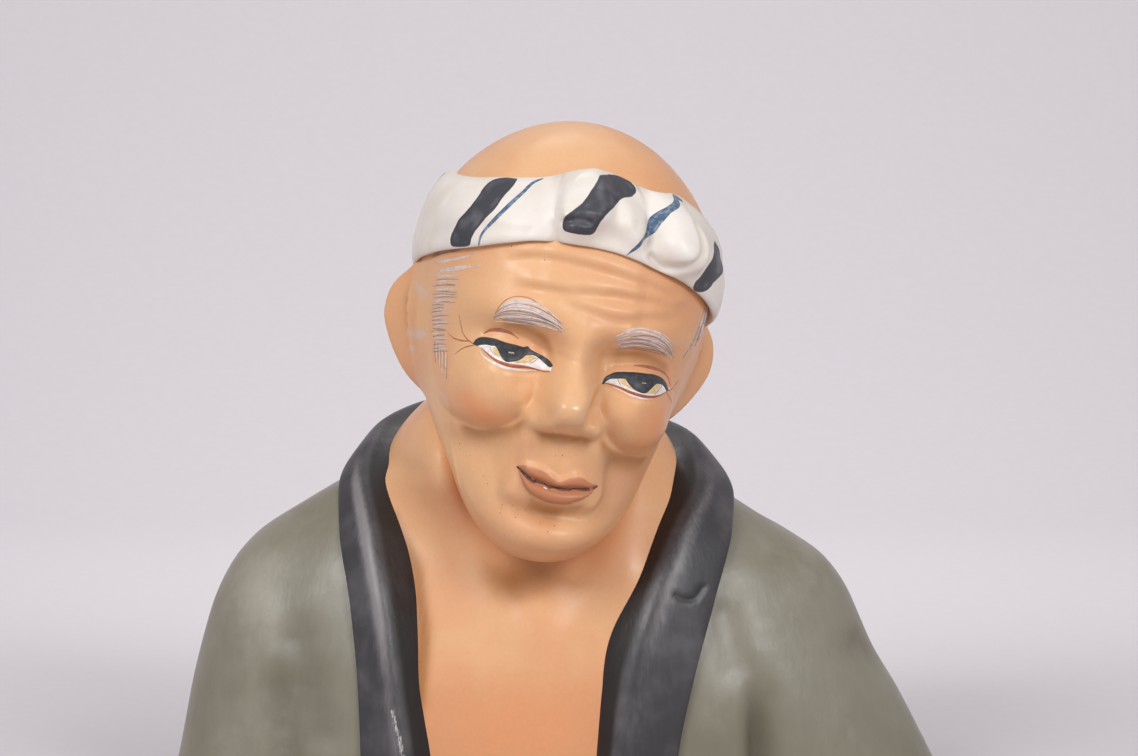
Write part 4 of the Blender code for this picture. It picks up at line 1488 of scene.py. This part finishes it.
@dataclass
class Towel:
    """The rolled towel: a flattened ring round the brow, knotted twice over it."""

    head: Head
    thickness: float = 1.4
    # The cloth's lower and upper edge by the bearing round the head.
    lower: Table = (
        (-180, -3.4), (-165, -3.2), (-120, 1.6), (-90, 5.6), (-76, 7.1), (-62, 8.7), (-48, 10.2),
        (-35, 11.7), (-23, 12.8),
        (-12, 13.2), (-3, 13.3), (6, 13.2), (15, 12.8), (25, 12.0), (35, 11.2), (46, 9.8), (58, 8.0),
        (70, 6.4), (120, 0.8),
        (165, -3.2), (180, -3.4),
    )
    upper: Table = (
        (-180, 5.0), (-165, 5.6), (-125, 13.0), (-110, 15.2), (-95, 16.2), (-80, 16.4), (-66, 16.9),
        (-52, 17.8), (-40, 18.5), (-29, 19.2),
        (-20, 20.1), (-12, 20.8), (-5, 21.1), (2, 20.9), (8, 20.7), (14, 20.4), (20, 20.0), (27, 19.8),
        (35, 19.8), (44, 19.6),
        (54, 18.6), (66, 16.6), (80, 14.2), (120, 9.2), (165, 5.2), (180, 5.0),
    )
    # Outlines of the black bars as (arc, share of the way to an edge).
    bars: tuple = (
        ((-12.3, 0.97), (-14.4, 0.99), (-15.6, 0.9), (-15.9, 0.65), (-15.9, 0.26), (-16.3, 0.01),
         (-17.1, -0.25), (-17.5, -0.56),
         (-17.4, -0.82), (-16.8, -0.95), (-14.7, -0.96), (-14.4, -0.76), (-14.1, -0.49), (-13.3, -0.17),
         (-12.6, 0.09),
         (-12.4, 0.49), (-12.1, 0.77)),
        ((-1.1, 0.9), (1.8, 1.0), (4.6, 1.0), (5.1, 0.84), (3.9, 0.63), (2.2, 0.51), (1.0, 0.27),
         (0, 0.07), (-0.6, -0.24),
         (-0.9, -0.57), (-1.9, -0.66), (-4.0, -0.64), (-4.5, -0.48), (-4.4, -0.23), (-3.6, 0.01),
         (-2.8, 0.21), (-2.1, 0.51),
         (-1.5, 0.74)),
        ((18.4, 0.56), (20.3, 0.52), (20.2, 0.22), (19.4, -0.01), (18.0, -0.23), (16.2, -0.51),
         (15.4, -0.69), (14.3, -0.89),
         (13.1, -1.0), (12.4, -0.97), (12.4, -0.81), (12.9, -0.66), (13.8, -0.43), (14.8, -0.22),
         (16.2, 0.06)),
    )
    # Where the plainer bars at the sides and back have their middles.
    back_bars: tuple = (-33, -46, 33, 45)
    half_width: float = 3.8
    # How far the inner side lies under the skin, and how steeply the cloth turns down to it.
    tucked: float = 2.0
    fall: float = 0.35
    cloth_per_degree: float = 0.31
    # The two knots and the roll beside them, as mounds takes them.
    fullness: tuple = (
        (2.7, (-2.7, 0.8), (3.5, 3.7), 0, 4), (1.8, (0.9, 1.2), (2.6, 2.8), 0, 3),
        (1.6, (3.9, -0.2), (2.0, 2.4), 0, 3), (3.4, (10.0, 0.4), (3.4, 3.3), -20, 4),
        (0.3, (-24.0, 2.4), (9.0, 3.0)),
    )
    # Valleys as rows of (places, depth, width).
    valleys: tuple = (
        (((-7.4, 4), (-6.2, 1.2), (-5.6, -1.2), (-5.2, -4)), 0.6, 0.7),
        (((6.6, 3.8), (6.9, 2.6), (6.4, 0.6), (5.6, -1.6)), 0.9, 0.8),
        (((0.6, 4), (1.4, 1.6), (0.8, -0.6), (-0.6, -2)), 0.35, 0.8),
        (((11.4, 1.5), (11.2, -0.6), (10, -2.2), (8.2, -3.1), (6.6, -2.8)), 0.8, 0.55),
        (((-4.6, -1.4), (-3.2, -1.0), (-1.6, -1.1)), 0.5, 0.4),
        (((-21, 1.5), (-15.3, 1.9), (-10, 2.5)), 0.18, 0.7),
        (((-22, -1.9), (-15, -1.4), (-8.5, -2.6)), 0.15, 0.7),
        (((14, 0.5), (18, 1.6), (24, 1.4)), 0.3, 0.9),
    )
    roll: Table = ((-4.4, -0.4), (-2.8, 0.1), (-1.2, 0.1))
    # Lines as (places as arc and share, widths).
    blue_lines: tuple = (
        (((-9.0, 0.95), (-10.0, 0.82), (-10.6, 0.48), (-11.3, 0.14), (-12.1, -0.19), (-12.9, -0.46),
          (-13.3, -0.68), (-13.4, -0.9), (-13.5, -0.99)),
         (0.2, 0.6, 0.7, 0.76, 0.72, 0.56, 0.42, 0.26, 0.08)),
        (((13.4, 0.9), (12.0, 0.95), (10.1, 0.86), (8.0, 0.67), (6.8, 0.36), (5.9, 0.0), (4.7, -0.4),
          (3.8, -0.75), (3.3, -0.96)), (0.3, 0.56, 0.5, 0.5, 0.72, 1.1, 0.9, 0.42, 0.08)),
    )
    segments: int = 620
    sides: int = 88

    def knots(self, arc: Array, across: Array) -> Array:
        """The fullness of the knots: rounded mounds, less the valleys and creases by them.

        Args:
            arc: Places on the arc round the head.
            across: -1 at the lower edge and 1 at the upper.

        Returns:
            How far the cloth stands off beyond its thickness.
        """
        x, z = arc * self.cloth_per_degree / ARC_PER_DEGREE, across * self.half_width
        rise = mounds(x, z, self.fullness)
        for path, depth, width in self.valleys:
            rise -= depth * on_path(x, z, path, width)
        rise += 0.35 * on_path(x, z, self.roll, 0.6, 12)
        return rise + 0.12 * ripple(x, z, 6, 2)

    def surface(self, bearing: Array, around: Array) -> Array:
        """The towel's closed section: around is 0 on its outer middle and a half turn inside.

        Args:
            bearing: The bearing round the head.
            around: The angle round the section.

        Returns:
            Points in the head's own frame: off the plain head by a power of the cosine.
        """
        bearing_deg = np.degrees(bearing)
        low, high = through(self.lower, bearing_deg), through(self.upper, bearing_deg)
        across = np.sin(around)
        height = (low + high) / 2 + across * (high - low) / 2
        outward = np.stack([np.sin(bearing), -np.cos(bearing), 0 * bearing], -1)
        stands = self.thickness + self.knots(bearing_deg * ARC_PER_DEGREE, across)
        off = (stands + self.tucked) * ((1 + np.cos(around)) / 2) ** self.fall - self.tucked
        return self.head.plain(bearing, height) + outward * off[..., None]

    def build(self) -> None:
        """Make the towel's piece, with the bars and lines of its dyed pattern."""
        turn, around = np.meshgrid(
            np.linspace(-math.pi, math.pi, self.segments, endpoint=False),
            np.linspace(-math.pi, math.pi, self.sides, endpoint=False), indexing="ij",
        )
        bearing = turn - 0.4 * np.sin(turn)
        around = around - 0.25 * np.sin(around)
        arc, across = np.degrees(bearing) * ARC_PER_DEGREE, np.sin(around)
        bar = np.full_like(arc, -2.0)
        for outline in self.bars:
            corners = np.array(outline) * (1, self.half_width)
            smooth = curve_through(tuple(map(tuple, np.vstack([corners, corners[:1]]))), 90)[:-1]
            bar = np.maximum(bar, inside_by(arc, across * self.half_width, smooth))
        for middle in self.back_bars:
            lean = 1.6 * across + 0.5 * np.sin(3 * across + middle)
            beside = 1.7 - np.abs(arc - middle - lean * 1.5)
            bar = np.maximum(bar, np.minimum(beside, 3.5 - self.half_width * np.abs(across)))
        bar = np.where(np.cos(around) > -0.3, bar, -2.0)
        points = self.head.placed(self.surface(bearing, around))
        # Painted shade where the cloth lies low by the knots, and along its turned-down edges.
        valley_shade = 0.5 * smooth_step((0.6 - self.knots(arc, across)) / 1.2)
        valley_shade += 0.3 * smooth_step((np.abs(across) - 0.8) / 0.2)
        polish = 0.7 * mound(arc, self.half_width * across, (-5.0, 2.0), (2.4, 2.4))
        Shell.from_rings(points, Ends.JOINED, {
            "bar": bar, "bloom": smooth_step(bar / 0.4), "valley_shade": valley_shade, "polish": polish,
        }).as_piece("towel", TOWEL_WHITE)
        self.lines()

    def lines(self) -> None:
        """The thin blue lines: films of paint that follow the towel."""
        films = []
        for path, widths in self.blue_lines:
            middle = curve_through(path, 60)
            run = unit(np.gradient(middle * (1, self.half_width), axis=0))
            beside = np.stack([-run[:, 1], run[:, 0] / self.half_width], -1)
            width = np.interp(np.linspace(0, 1, 60), np.linspace(0, 1, len(widths)), widths)[:, None]
            share = np.linspace(-1, 1, 5)[None, :, None]
            places = middle[:, None] + beside[:, None] * width[:, None] / 2 * share
            bulge = np.sqrt(np.clip(1 - share**2, 0, 1)) * 0.05 - 0.02
            point, facing = self.at(places[..., 0], places[..., 1])
            films.append(Shell.from_rings(
                np.concatenate([point + facing * bulge, (point - facing * 0.06)[:, ::-1]], 1), Ends.POINT,
            ))
        Shell.gathered(films).as_piece("towel_lines", BLUE_LINE)

    def at(self, arc: Array, across: Array) -> tuple[Array, Array]:
        """Where the towel's outer side is and which way it faces.

        Args:
            arc: Places on the arc round the head.
            across: -1 at the lower edge and 1 at the upper.

        Returns:
            The points and their outward unit normals.
        """
        bearing = np.radians(arc / ARC_PER_DEGREE)
        around = np.arcsin(np.clip(across, -0.999, 0.999))
        step = 0.004
        point = self.head.placed(self.surface(bearing, around))
        over = self.head.placed(self.surface(bearing + step, around)) - point
        up = self.head.placed(self.surface(bearing, around + step)) - point
        return point, unit(np.cross(over, up))


@dataclass
class Collar:
    """The jacket's folded collar, up one front, round the nape and down the other."""

    edge_lift: float = 0.6
    # Up the left front, round the nape and down the right front: inner edge, ridge, outer edge.
    stations: tuple = (
        ((-15.0, -13.6, -4.0), (-17.6, -15.7, -4.0), (-23.4, -12.6, -4.0)),
        ((-15.3, -13.7, 5.0), (-18.0, -15.8, 5.0), (-23.3, -12.8, 5.0)),
        ((-16.3, -12.8, 14.0), (-19.2, -14.9, 14.0), (-23.6, -11.8, 14.0)),
        ((-17.4, -10.9, 23.0), (-20.4, -12.9, 23.0), (-24.5, -9.8, 23.0)),
        ((-18.9, -7.2, 31.2), (-22.0, -9.0, 30.8), (-25.8, -5.4, 30.5)),
        ((-20.6, -2.0, 37.6), (-23.3, -2.6, 36.9), (-26.0, -0.5, 35.0)),
        ((-19.3, 4.5, 41.6), (-21.8, 5.0, 41.6), (-24.0, 6.0, 38.4)),
        ((-13.4, 11.6, 43.8), (-15.2, 13.6, 44.2), (-16.4, 16.2, 40.4)),
        ((-4.0, 14.8, 44.6), (-4.0, 16.8, 45.0), (-4.0, 18.8, 41.0)),
        ((6.0, 11.6, 42.6), (7.6, 13.6, 42.8), (8.8, 16.0, 39.0)),
        ((11.6, 4.4, 40.4), (14.0, 5.0, 40.4), (16.6, 6.0, 37.2)),
        ((12.2, -2.0, 37.4), (15.0, -2.8, 36.0), (18.6, -0.6, 34.0)),
        ((9.2, -7.6, 31.2), (12.4, -9.4, 31.2), (18.4, -5.8, 30.8)),
        ((5.8, -11.4, 23.6), (9.4, -13.4, 23.6), (16.4, -10.2, 23.4)),
        ((3.5, -13.3, 14.6), (6.6, -15.4, 14.6), (14.0, -12.9, 14.6)),
        ((3.0, -14.1, 5.6), (5.2, -16.2, 5.6), (12.2, -13.7, 5.6)),
        ((2.6, -14.0, -4.0), (4.6, -16.0, -4.0), (11.6, -13.6, -4.0)),
    )
    # The chalky scuff and the small crease as (across, height).
    scuff: Table = ((-19.7, 11.5), (-19.2, 9.6), (-18.7, 7.6), (-18.4, 5.0), (-17.9, 3))
    crease: Table = ((11.8, 24.4), (12.8, 23.8), (14.0, 23.8), (14.9, 24.9))
    heart: tuple = (-3.0, 3.0)
    sections: int = 600
    sides: int = 72

    def line(self, which: int, along: Array) -> Array:
        """The inner edge, the ridge or the outer edge, smooth through its stations.

        Args:
            which: 0, 1 or 2.
            along: 0 at the foot of one front and 1 at the foot of the other.

        Returns:
            Points on that line.
        """
        spaced = np.linspace(0, 1, len(self.stations))
        return np.stack([
            through(tuple(zip(spaced, [row[which][k] for row in self.stations])), along) for k in range(3)
        ], -1)

    def surface(self, along: Array, around: Array) -> Array:
        """The collar's closed section: a cubic B-spline round ten points.

        Args:
            along: Places along the collar.
            around: Shares of the way round the section.

        Returns:
            Points of the collar.
        """
        edge, ridge, outer = (self.line(i, along) for i in range(3))
        heart = np.stack(np.broadcast_arrays(self.heart[0], self.heart[1], ridge[..., 2] - 2), -1)
        inward = unit(heart - (edge + outer) / 2)
        lift = self.edge_lift * inward
        corners = (
            edge + 3.0 * inward, edge + 0.9 * inward, edge - 0.8 * lift, (edge + ridge) / 2 - lift,
            ridge - 0.9 * lift, (0.7 * ridge + 0.3 * outer) - 1.3 * lift,
            (0.25 * ridge + 0.75 * outer) - 1.3 * lift,
            outer - 1.0 * lift, outer + 0.9 * inward, outer + 3.0 * inward,
        )
        place = (around % 1) * len(corners)
        section = np.zeros(np.broadcast_shapes(along.shape, place.shape) + (3,))
        for i, corner in enumerate(corners):
            away = np.abs((place - i + len(corners) / 2) % len(corners) - len(corners) / 2)
            near, far = 2 / 3 - away**2 + away**3 / 2, np.clip(2 - away, 0, None) ** 3 / 6
            section += np.where(away < 1, near, far)[..., None] * corner
        return section

    def build(self) -> None:
        """Make the collar's piece."""
        along, around = np.meshgrid(
            np.linspace(0, 1, self.sections), np.linspace(0, 1, self.sides, endpoint=False), indexing="ij",
        )
        points = self.surface(along, around)
        x, y, z = np.moveaxis(points.copy(), -1, 0)
        place = around * 10  # the nearest of the section's ten points
        scuff = on_path(x, z, self.scuff, 0.5) * (y < -8)
        # Wear and painted highlight along the ridge, stronger on the left and higher up, and a thin line near
        # the outer edge.
        wear_and_highlight = (0.6 + 0.9 * (x < -5)) * np.exp(-(((place - 4.4) / 0.5) ** 2))
        wear_and_highlight += 0.3 * np.exp(-(((place - 7.4) / 0.25) ** 2))
        wear_and_highlight *= 0.35 + 0.65 * smooth_step((z - 14) / 10)
        wear_and_highlight *= smooth_step((40 - z) / 6)
        crease = on_path(x, z, self.crease, 0.4, 24) * (y < -6) * (place > 4.6) * (place < 7)
        # Painted shade on the inner face and in the small crease.
        inside = np.maximum(0.95 * smooth_step((3.6 - place) / 0.8), 0.7 * crease)
        points[..., 1] += 0.22 * crease
        points[..., 2] = np.maximum(z, 0.0)
        Shell.from_rings(points, Ends.POINT, {
            "inside": inside, "scuff": scuff, "wear_and_highlight": wear_and_highlight,
        }).as_piece("collar", COLLAR_BLACK)


@dataclass
class Body:
    """The shoulders and arms in the jacket, and the bare neck and chest in its opening."""

    collar: Collar
    axis: tuple = (-3.0, 3.0)
    # By height: the reach from the axis to the left, the right, the front and the back.
    lefts: Table = (
        (-4, 44.0), (4.3, 42.0), (13, 40.3), (17.4, 39.2), (22, 37.8), (26.2, 35.7), (29.4, 32.9),
        (32.8, 27.7), (35.9, 22.4), (38, 18.6), (40.3, 17.2), (42.3, 15.8), (44.4, 13.8), (46.5, 11.5),
        (50, 8),
    )
    rights: Table = (
        (-4, 48.6), (4.3, 44.6), (11.3, 41.0), (16.4, 38.0), (19.3, 36.7), (23.1, 35.0), (26.5, 32.5),
        (29.4, 28.4), (31.2, 25.2), (33.8, 21.2), (36.2, 17.6), (38.7, 15.5), (40.6, 14.3), (44.4, 11.5),
        (50, 8),
    )
    fronts: Table = ((-4, 17.0), (7.5, 17.2), (13.5, 16.8), (19.5, 15.4), (25.5, 13.4), (31, 11.2),
                     (36, 9.4), (41, 8.4), (50, 8))
    backs: Table = (
        (-4, 19.0), (8, 20.4), (17, 21.0), (25, 20.4), (31, 19.0), (36, 17.2), (40, 15.2),
        (43, 12.8), (46, 10), (50, 8),
    )
    squareness: float = 2.35
    # The sleeves' folds as rows of (start, end, width, depth), places as (across, height).
    creases: tuple = (
        ((-30.5, 18.5), (-27.5, 9.0), 2.8, 0.8), ((-33.0, 13.0), (-31.0, 2.0), 2.6, 0.8),
        ((-29.0, 30.0), (-32.6, 24.4), 3.0, 0.35), ((17.4, 21.4), (18.8, 16.0), 2.0, 0.5),
        ((33.0, 17.6), (37.5, 15.6), 2.4, 0.9),
    )
    # The middle and half breadth of the bare front, as bearings in degrees.
    opening: tuple = (-7.0, 33.0)
    # The skin starts to sink this far under the ridge's height, and sinks over this height.
    sink_below: float = 2.8
    sink_over: float = 1.2
    jacket_sunk: float = 1.5
    skin_sunk: float = 5.0
    top: float = 50.0
    # Painted sheens as mounds takes them, and painted shade as rows of (places, width, strength).
    painted_sheens: tuple = (
        (1, (-35.2, 23.5), (3.6, 5.0), 10), (0.5, (-38.5, 4.5), (2.5, 5.0)),
        (0.4, (26.0, 24.0), (4.0, 4.5), -20),
    )
    chest_shades: tuple = (
        (((-20.0, 32), (-17.6, 27.5), (-16.9, 24), (-16.4, 20), (-16.7, 15), (-17.4, 10)), 1.1, 0.95),
        (((-10, 27), (-6.5, 24)), 2.0, 0.25),
    )
    sides: int = 400
    levels: int = 128

    def bare(self, x: Array, y: Array, z: Array) -> Array:
        """1 above and inside the collar's ridge, 0 under the jacket.

        Args:
            x: Places across.
            y: Places from front to back.
            z: Heights.

        Returns:
            The share that is skin, by the ridge's height at each bearing from the body's axis.
        """
        ridge = self.collar.line(1, np.linspace(0, 1, 200))
        bearing = np.degrees(np.arctan2(ridge[:, 0] - self.axis[0], -(ridge[:, 1] - self.axis[1])))
        first = np.arange(len(ridge)) < np.argmax(ridge[:, 2])
        turned = np.where(first, np.where(bearing < 0, bearing, -180), np.where(bearing < 0, 180, bearing))
        order = np.argsort(turned, kind="stable")
        here = np.degrees(np.arctan2(x - self.axis[0], -(y - self.axis[1])))
        top = np.interp(here, turned[order], ridge[order, 2])
        between = np.abs(here - self.opening[0]) < self.opening[1]
        return np.where(between, 1.0, smooth_step((z - top + self.sink_below) / self.sink_over))

    def crease_depth(self, x: Array, z: Array) -> Array:
        """How deep the sleeve's folds are pressed in: a bell across each fold's line.

        Args:
            x: Places across.
            z: Heights over the foot.

        Returns:
            The depth at each place.
        """
        depth = np.zeros_like(x)
        for start, end, width, pressed in self.creases:
            depth += pressed * np.exp(-((distance_to(x, z, np.array([start, end])) / width) ** 2))
        beside = x - 20.7
        slit = np.exp(-((beside / np.where(beside > 0, 2.6, 0.9)) ** 2))
        return depth + 1.7 * slit * smooth_step((18 - z) / 11)

    def neck_cords(self, x: Array, z: Array) -> Array:
        """The two cords that run down to the pit of the throat, and the pit between them.

        Args:
            x: Places across.
            z: Heights over the foot.

        Returns:
            The rise at each place.
        """
        rise = -0.7 * mound(x, z, (-3.0, 24.5), (3.4, 3.6))
        for side in (-1, 1):
            line = -3.0 + side * (2.6 + 0.42 * np.clip(z - 18, 0, None))
            cord = 0.4 * np.exp(-(((x - line) / 2.2) ** 2))
            rise += cord * smooth_step((z - 13) / 12) * smooth_step((42 - z) / 6)
        rise += mounds(x, z, ((7.6, (-14.6, 39.5), (4.0, 6.5), 12), (1.2, (9.0, 36), (3.4, 7.0), -12)))
        rise += 1.6 * mound(x, z, (6.4, 27), (4.0, 6.0))
        return rise

    def surface(self, bearing: Array, height: Array) -> tuple[Array, Array, Array]:
        """The body's levels: squared ovals whose four reaches follow tables by the height.

        Args:
            bearing: The bearing round the body's axis.
            height: The height over the foot.

        Returns:
            The points, the share of each that is bare skin, and the depth of its fold.
        """
        left, right = through(self.lefts, height), through(self.rights, height)
        front, back = through(self.fronts, height), through(self.backs, height)
        across, along = np.sin(bearing), np.cos(bearing)
        power = self.squareness
        reach = (np.abs(across) ** power + np.abs(along) ** power) ** (-1 / power)
        x = self.axis[0] + np.where(across > 0, right, left) * across * reach
        y = self.axis[1] - np.where(along > 0, front, back) * along * reach
        bare = self.bare(x, y, height)
        fold = self.crease_depth(x, height) * smooth_step(along / 0.35)
        y = y + (1 - bare) * fold - bare * self.neck_cords(x, height) * smooth_step(along / 0.35)
        return np.stack([x, y, height], -1), bare, fold * (1 - bare)

    def sunk(self, points: Array, depth: Array) -> Array:
        """Points drawn towards the body's upright axis.

        Args:
            points: The points.
            depth: How far each is drawn in.

        Returns:
            The points, level with where they were.
        """
        inward = np.stack([self.axis[0] - points[..., 0], self.axis[1] - points[..., 1], 0 * depth], -1)
        return points + unit(inward, 1e-6) * depth[..., None]

    def build(self) -> None:
        """Make the jacket and the bare chest, each whole, with what the other covers sunk in."""
        bearing, height = np.meshgrid(
            np.linspace(-math.pi, math.pi, self.sides, endpoint=False), np.linspace(0, self.top, self.levels),
        )
        points, bare, fold = self.surface(bearing, height)
        x, z = points[..., 0], points[..., 2]
        # The jacket's marks: painted shade in its folds, painted sheen on the shoulders and the left arm.
        jacket = Shell.from_rings(self.sunk(points, self.jacket_sunk * bare), Ends.POINT, {
            "fold": np.clip(0.55 * fold, 0, 1), "sheen": mounds(x, z, self.painted_sheens),
        }).as_piece("jacket", JACKET)
        jacket.data.materials.append(CLAY.material())
        # Painted shade in the pit of the throat and beside it, and a painted shadow down the left collar's
        # inner edge.
        painted_shade = 0.72 * mound(x, z, (-4.4, 25.8), (4.4, 2.6), 0, 2.6)
        for path, width, depth in self.chest_shades:
            painted_shade = painted_shade + depth * on_path(x, z, path, width, 12)
        glow = 0.3 * mound(x, z, (-5.0, 9), (9, 6)) + 0.06 * smooth_step((22 - z) / 10)
        # Warmer and darker towards the bottom.
        warmth_and_shade = 0.28 + 0.45 * smooth_step((20 - z) / 10)
        skin = Shell.from_rings(self.sunk(points, self.skin_sunk * (1 - bare)), Ends.POINT, {
            "painted_shade": np.clip(painted_shade, 0, 1), "glow": glow, "warmth_and_shade": warmth_and_shade,
            "lip": np.full_like(x, -1.0), "frost": np.zeros_like(x),
        }).as_piece("neck_and_chest", SKIN)
        skin.data.materials.append(CLAY.material())
        for piece in (jacket, skin):
            self.bare_foot(piece)

    def bare_foot(self, piece: bpy.types.Object) -> None:
        """Leave the faces of the flat foot unpainted.

        Args:
            piece: A piece whose second material is the bare clay.
        """
        middles = np.empty(len(piece.data.polygons) * 3, np.float32)
        piece.data.polygons.foreach_get("center", middles)
        piece.data.polygons.foreach_set("material_index", (middles[2::3] < 1e-6).astype(np.int32))


@dataclass
class Studio:
    """The pale sweep, the soft lights and the camera."""

    target: tuple = (0.0, 0.0, 0.0475)
    distance: float = 0.48
    elevation_deg: float = 5.0
    seen_width: float = 0.130
    # For each light: name, azimuth, elevation, distance, size, power and the point it faces.
    panels: tuple = (
        ("left_softbox", -38, 34, 1.0, 0.36, 3.75, (0.0, 0.0, 0.0475)),
        ("right_softbox", 36, 28, 1.0, 0.3, 3.2, (0.0, 0.0, 0.0475)),
        ("top_panel", 0, 78, 1.0, 0.9, 0.75, (0.0, 0.0, 0.0475)),
        ("backdrop_glow", 0, 42, 0.38, 0.1, 0.5, (0, 0.42, 0.02)),
    )
    sensor: float = 36.0
    room_colour: tuple = (0.93, 0.95, 1.0, 1.0)
    room_light: float = 0.5

    def sweep(self) -> None:
        """A floor that curves up into a wall: a straight, a quarter circle and a straight."""
        radius, far, tall, half = 0.35, 0.25, 1.6, 6.0
        turn = np.linspace(0, math.pi / 2, 40)
        y = np.concatenate([[-2.5], far + radius * np.sin(turn), [far + radius]])
        z = np.concatenate([[0], radius * (1 - np.cos(turn)), [tall]])
        x = np.array([-half, half])
        points = np.stack(np.broadcast_arrays(x[None], y[:, None], z[:, None]), -1).reshape(-1, 3)
        at = np.arange(len(points)).reshape(-1, 2)
        faces = np.stack([at[:-1, 0], at[:-1, 1], at[1:, 1], at[1:, 0]], -1)
        mesh = bpy.data.meshes.new("sweep")
        mesh.from_pydata(points.tolist(), [], faces.tolist())
        mesh.polygons.foreach_set("use_smooth", np.ones(len(faces), bool))
        mesh.materials.append(PAPER.material())
        sweep = shown("sweep", mesh)

    def face(
        self, thing: bpy.types.Object, azimuth: float, elevation: float, distance: float, at: tuple,
    ) -> None:
        """Put a light or a camera round a point, and turn it to face the point.

        Args:
            thing: The object.
            azimuth: Degrees to the right of the camera's side.
            elevation: Degrees above level.
            distance: Metres from the point.
            at: The point.
        """
        turn, rise = math.radians(azimuth), math.radians(elevation)
        away = Vector((math.sin(turn) * math.cos(rise), -math.cos(turn) * math.cos(rise), math.sin(rise)))
        thing.location = Vector(at) + away * distance
        thing.rotation_euler = (-away).to_track_quat("-Z", "Y").to_euler()

    def light(
        self, name: str, azimuth: float, elevation: float, distance: float, size: float, power: float,
        at: tuple,
    ) -> None:
        """Hang a square soft light that faces a point.

        Args:
            name: The light's name.
            azimuth: Degrees to the right of the camera's side.
            elevation: Degrees above level.
            distance: Metres from the bust.
            size: The side of its panel in metres.
            power: Its power in watts.
            at: The point it faces.
        """
        data = bpy.data.lights.new(name, "AREA")
        data.shape, data.size, data.energy = "SQUARE", size, power
        self.face(shown(name, data), azimuth, elevation, distance, at)

    def camera(self) -> None:
        """Set the camera at the picture's angle and breadth."""
        data = bpy.data.cameras.new("camera")
        data.sensor_width = self.sensor
        data.lens = self.sensor * self.distance / self.seen_width
        data.clip_start = 0.01
        eye = shown("camera", data)
        self.face(eye, 0, self.elevation_deg, self.distance, self.target)
        bpy.context.scene.camera = eye

    def build(self) -> None:
        """Make the sweep, hang the lights and set the camera."""
        self.sweep()
        for panel in self.panels:
            self.light(*panel)
        world = bpy.data.worlds.new("soft_room")
        world.use_nodes = True
        sky = world.node_tree.nodes["Background"]
        sky.inputs[0].default_value = self.room_colour
        sky.inputs[1].default_value = self.room_light
        scene = bpy.context.scene
        scene.world = world
        scene.view_settings.view_transform = "Standard"
        self.camera()


def main() -> None:
    """Build the studio, then the bust from the head down."""
    logging.basicConfig(level=logging.INFO, format="%(message)s")
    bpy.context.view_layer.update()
    Studio().build()
    head, collar = Head(), Collar()
    head.build()
    BrushWork(head).build()
    Towel(head).build()
    collar.build()
    Body(collar).build()


if __name__ == "__main__":
    main()
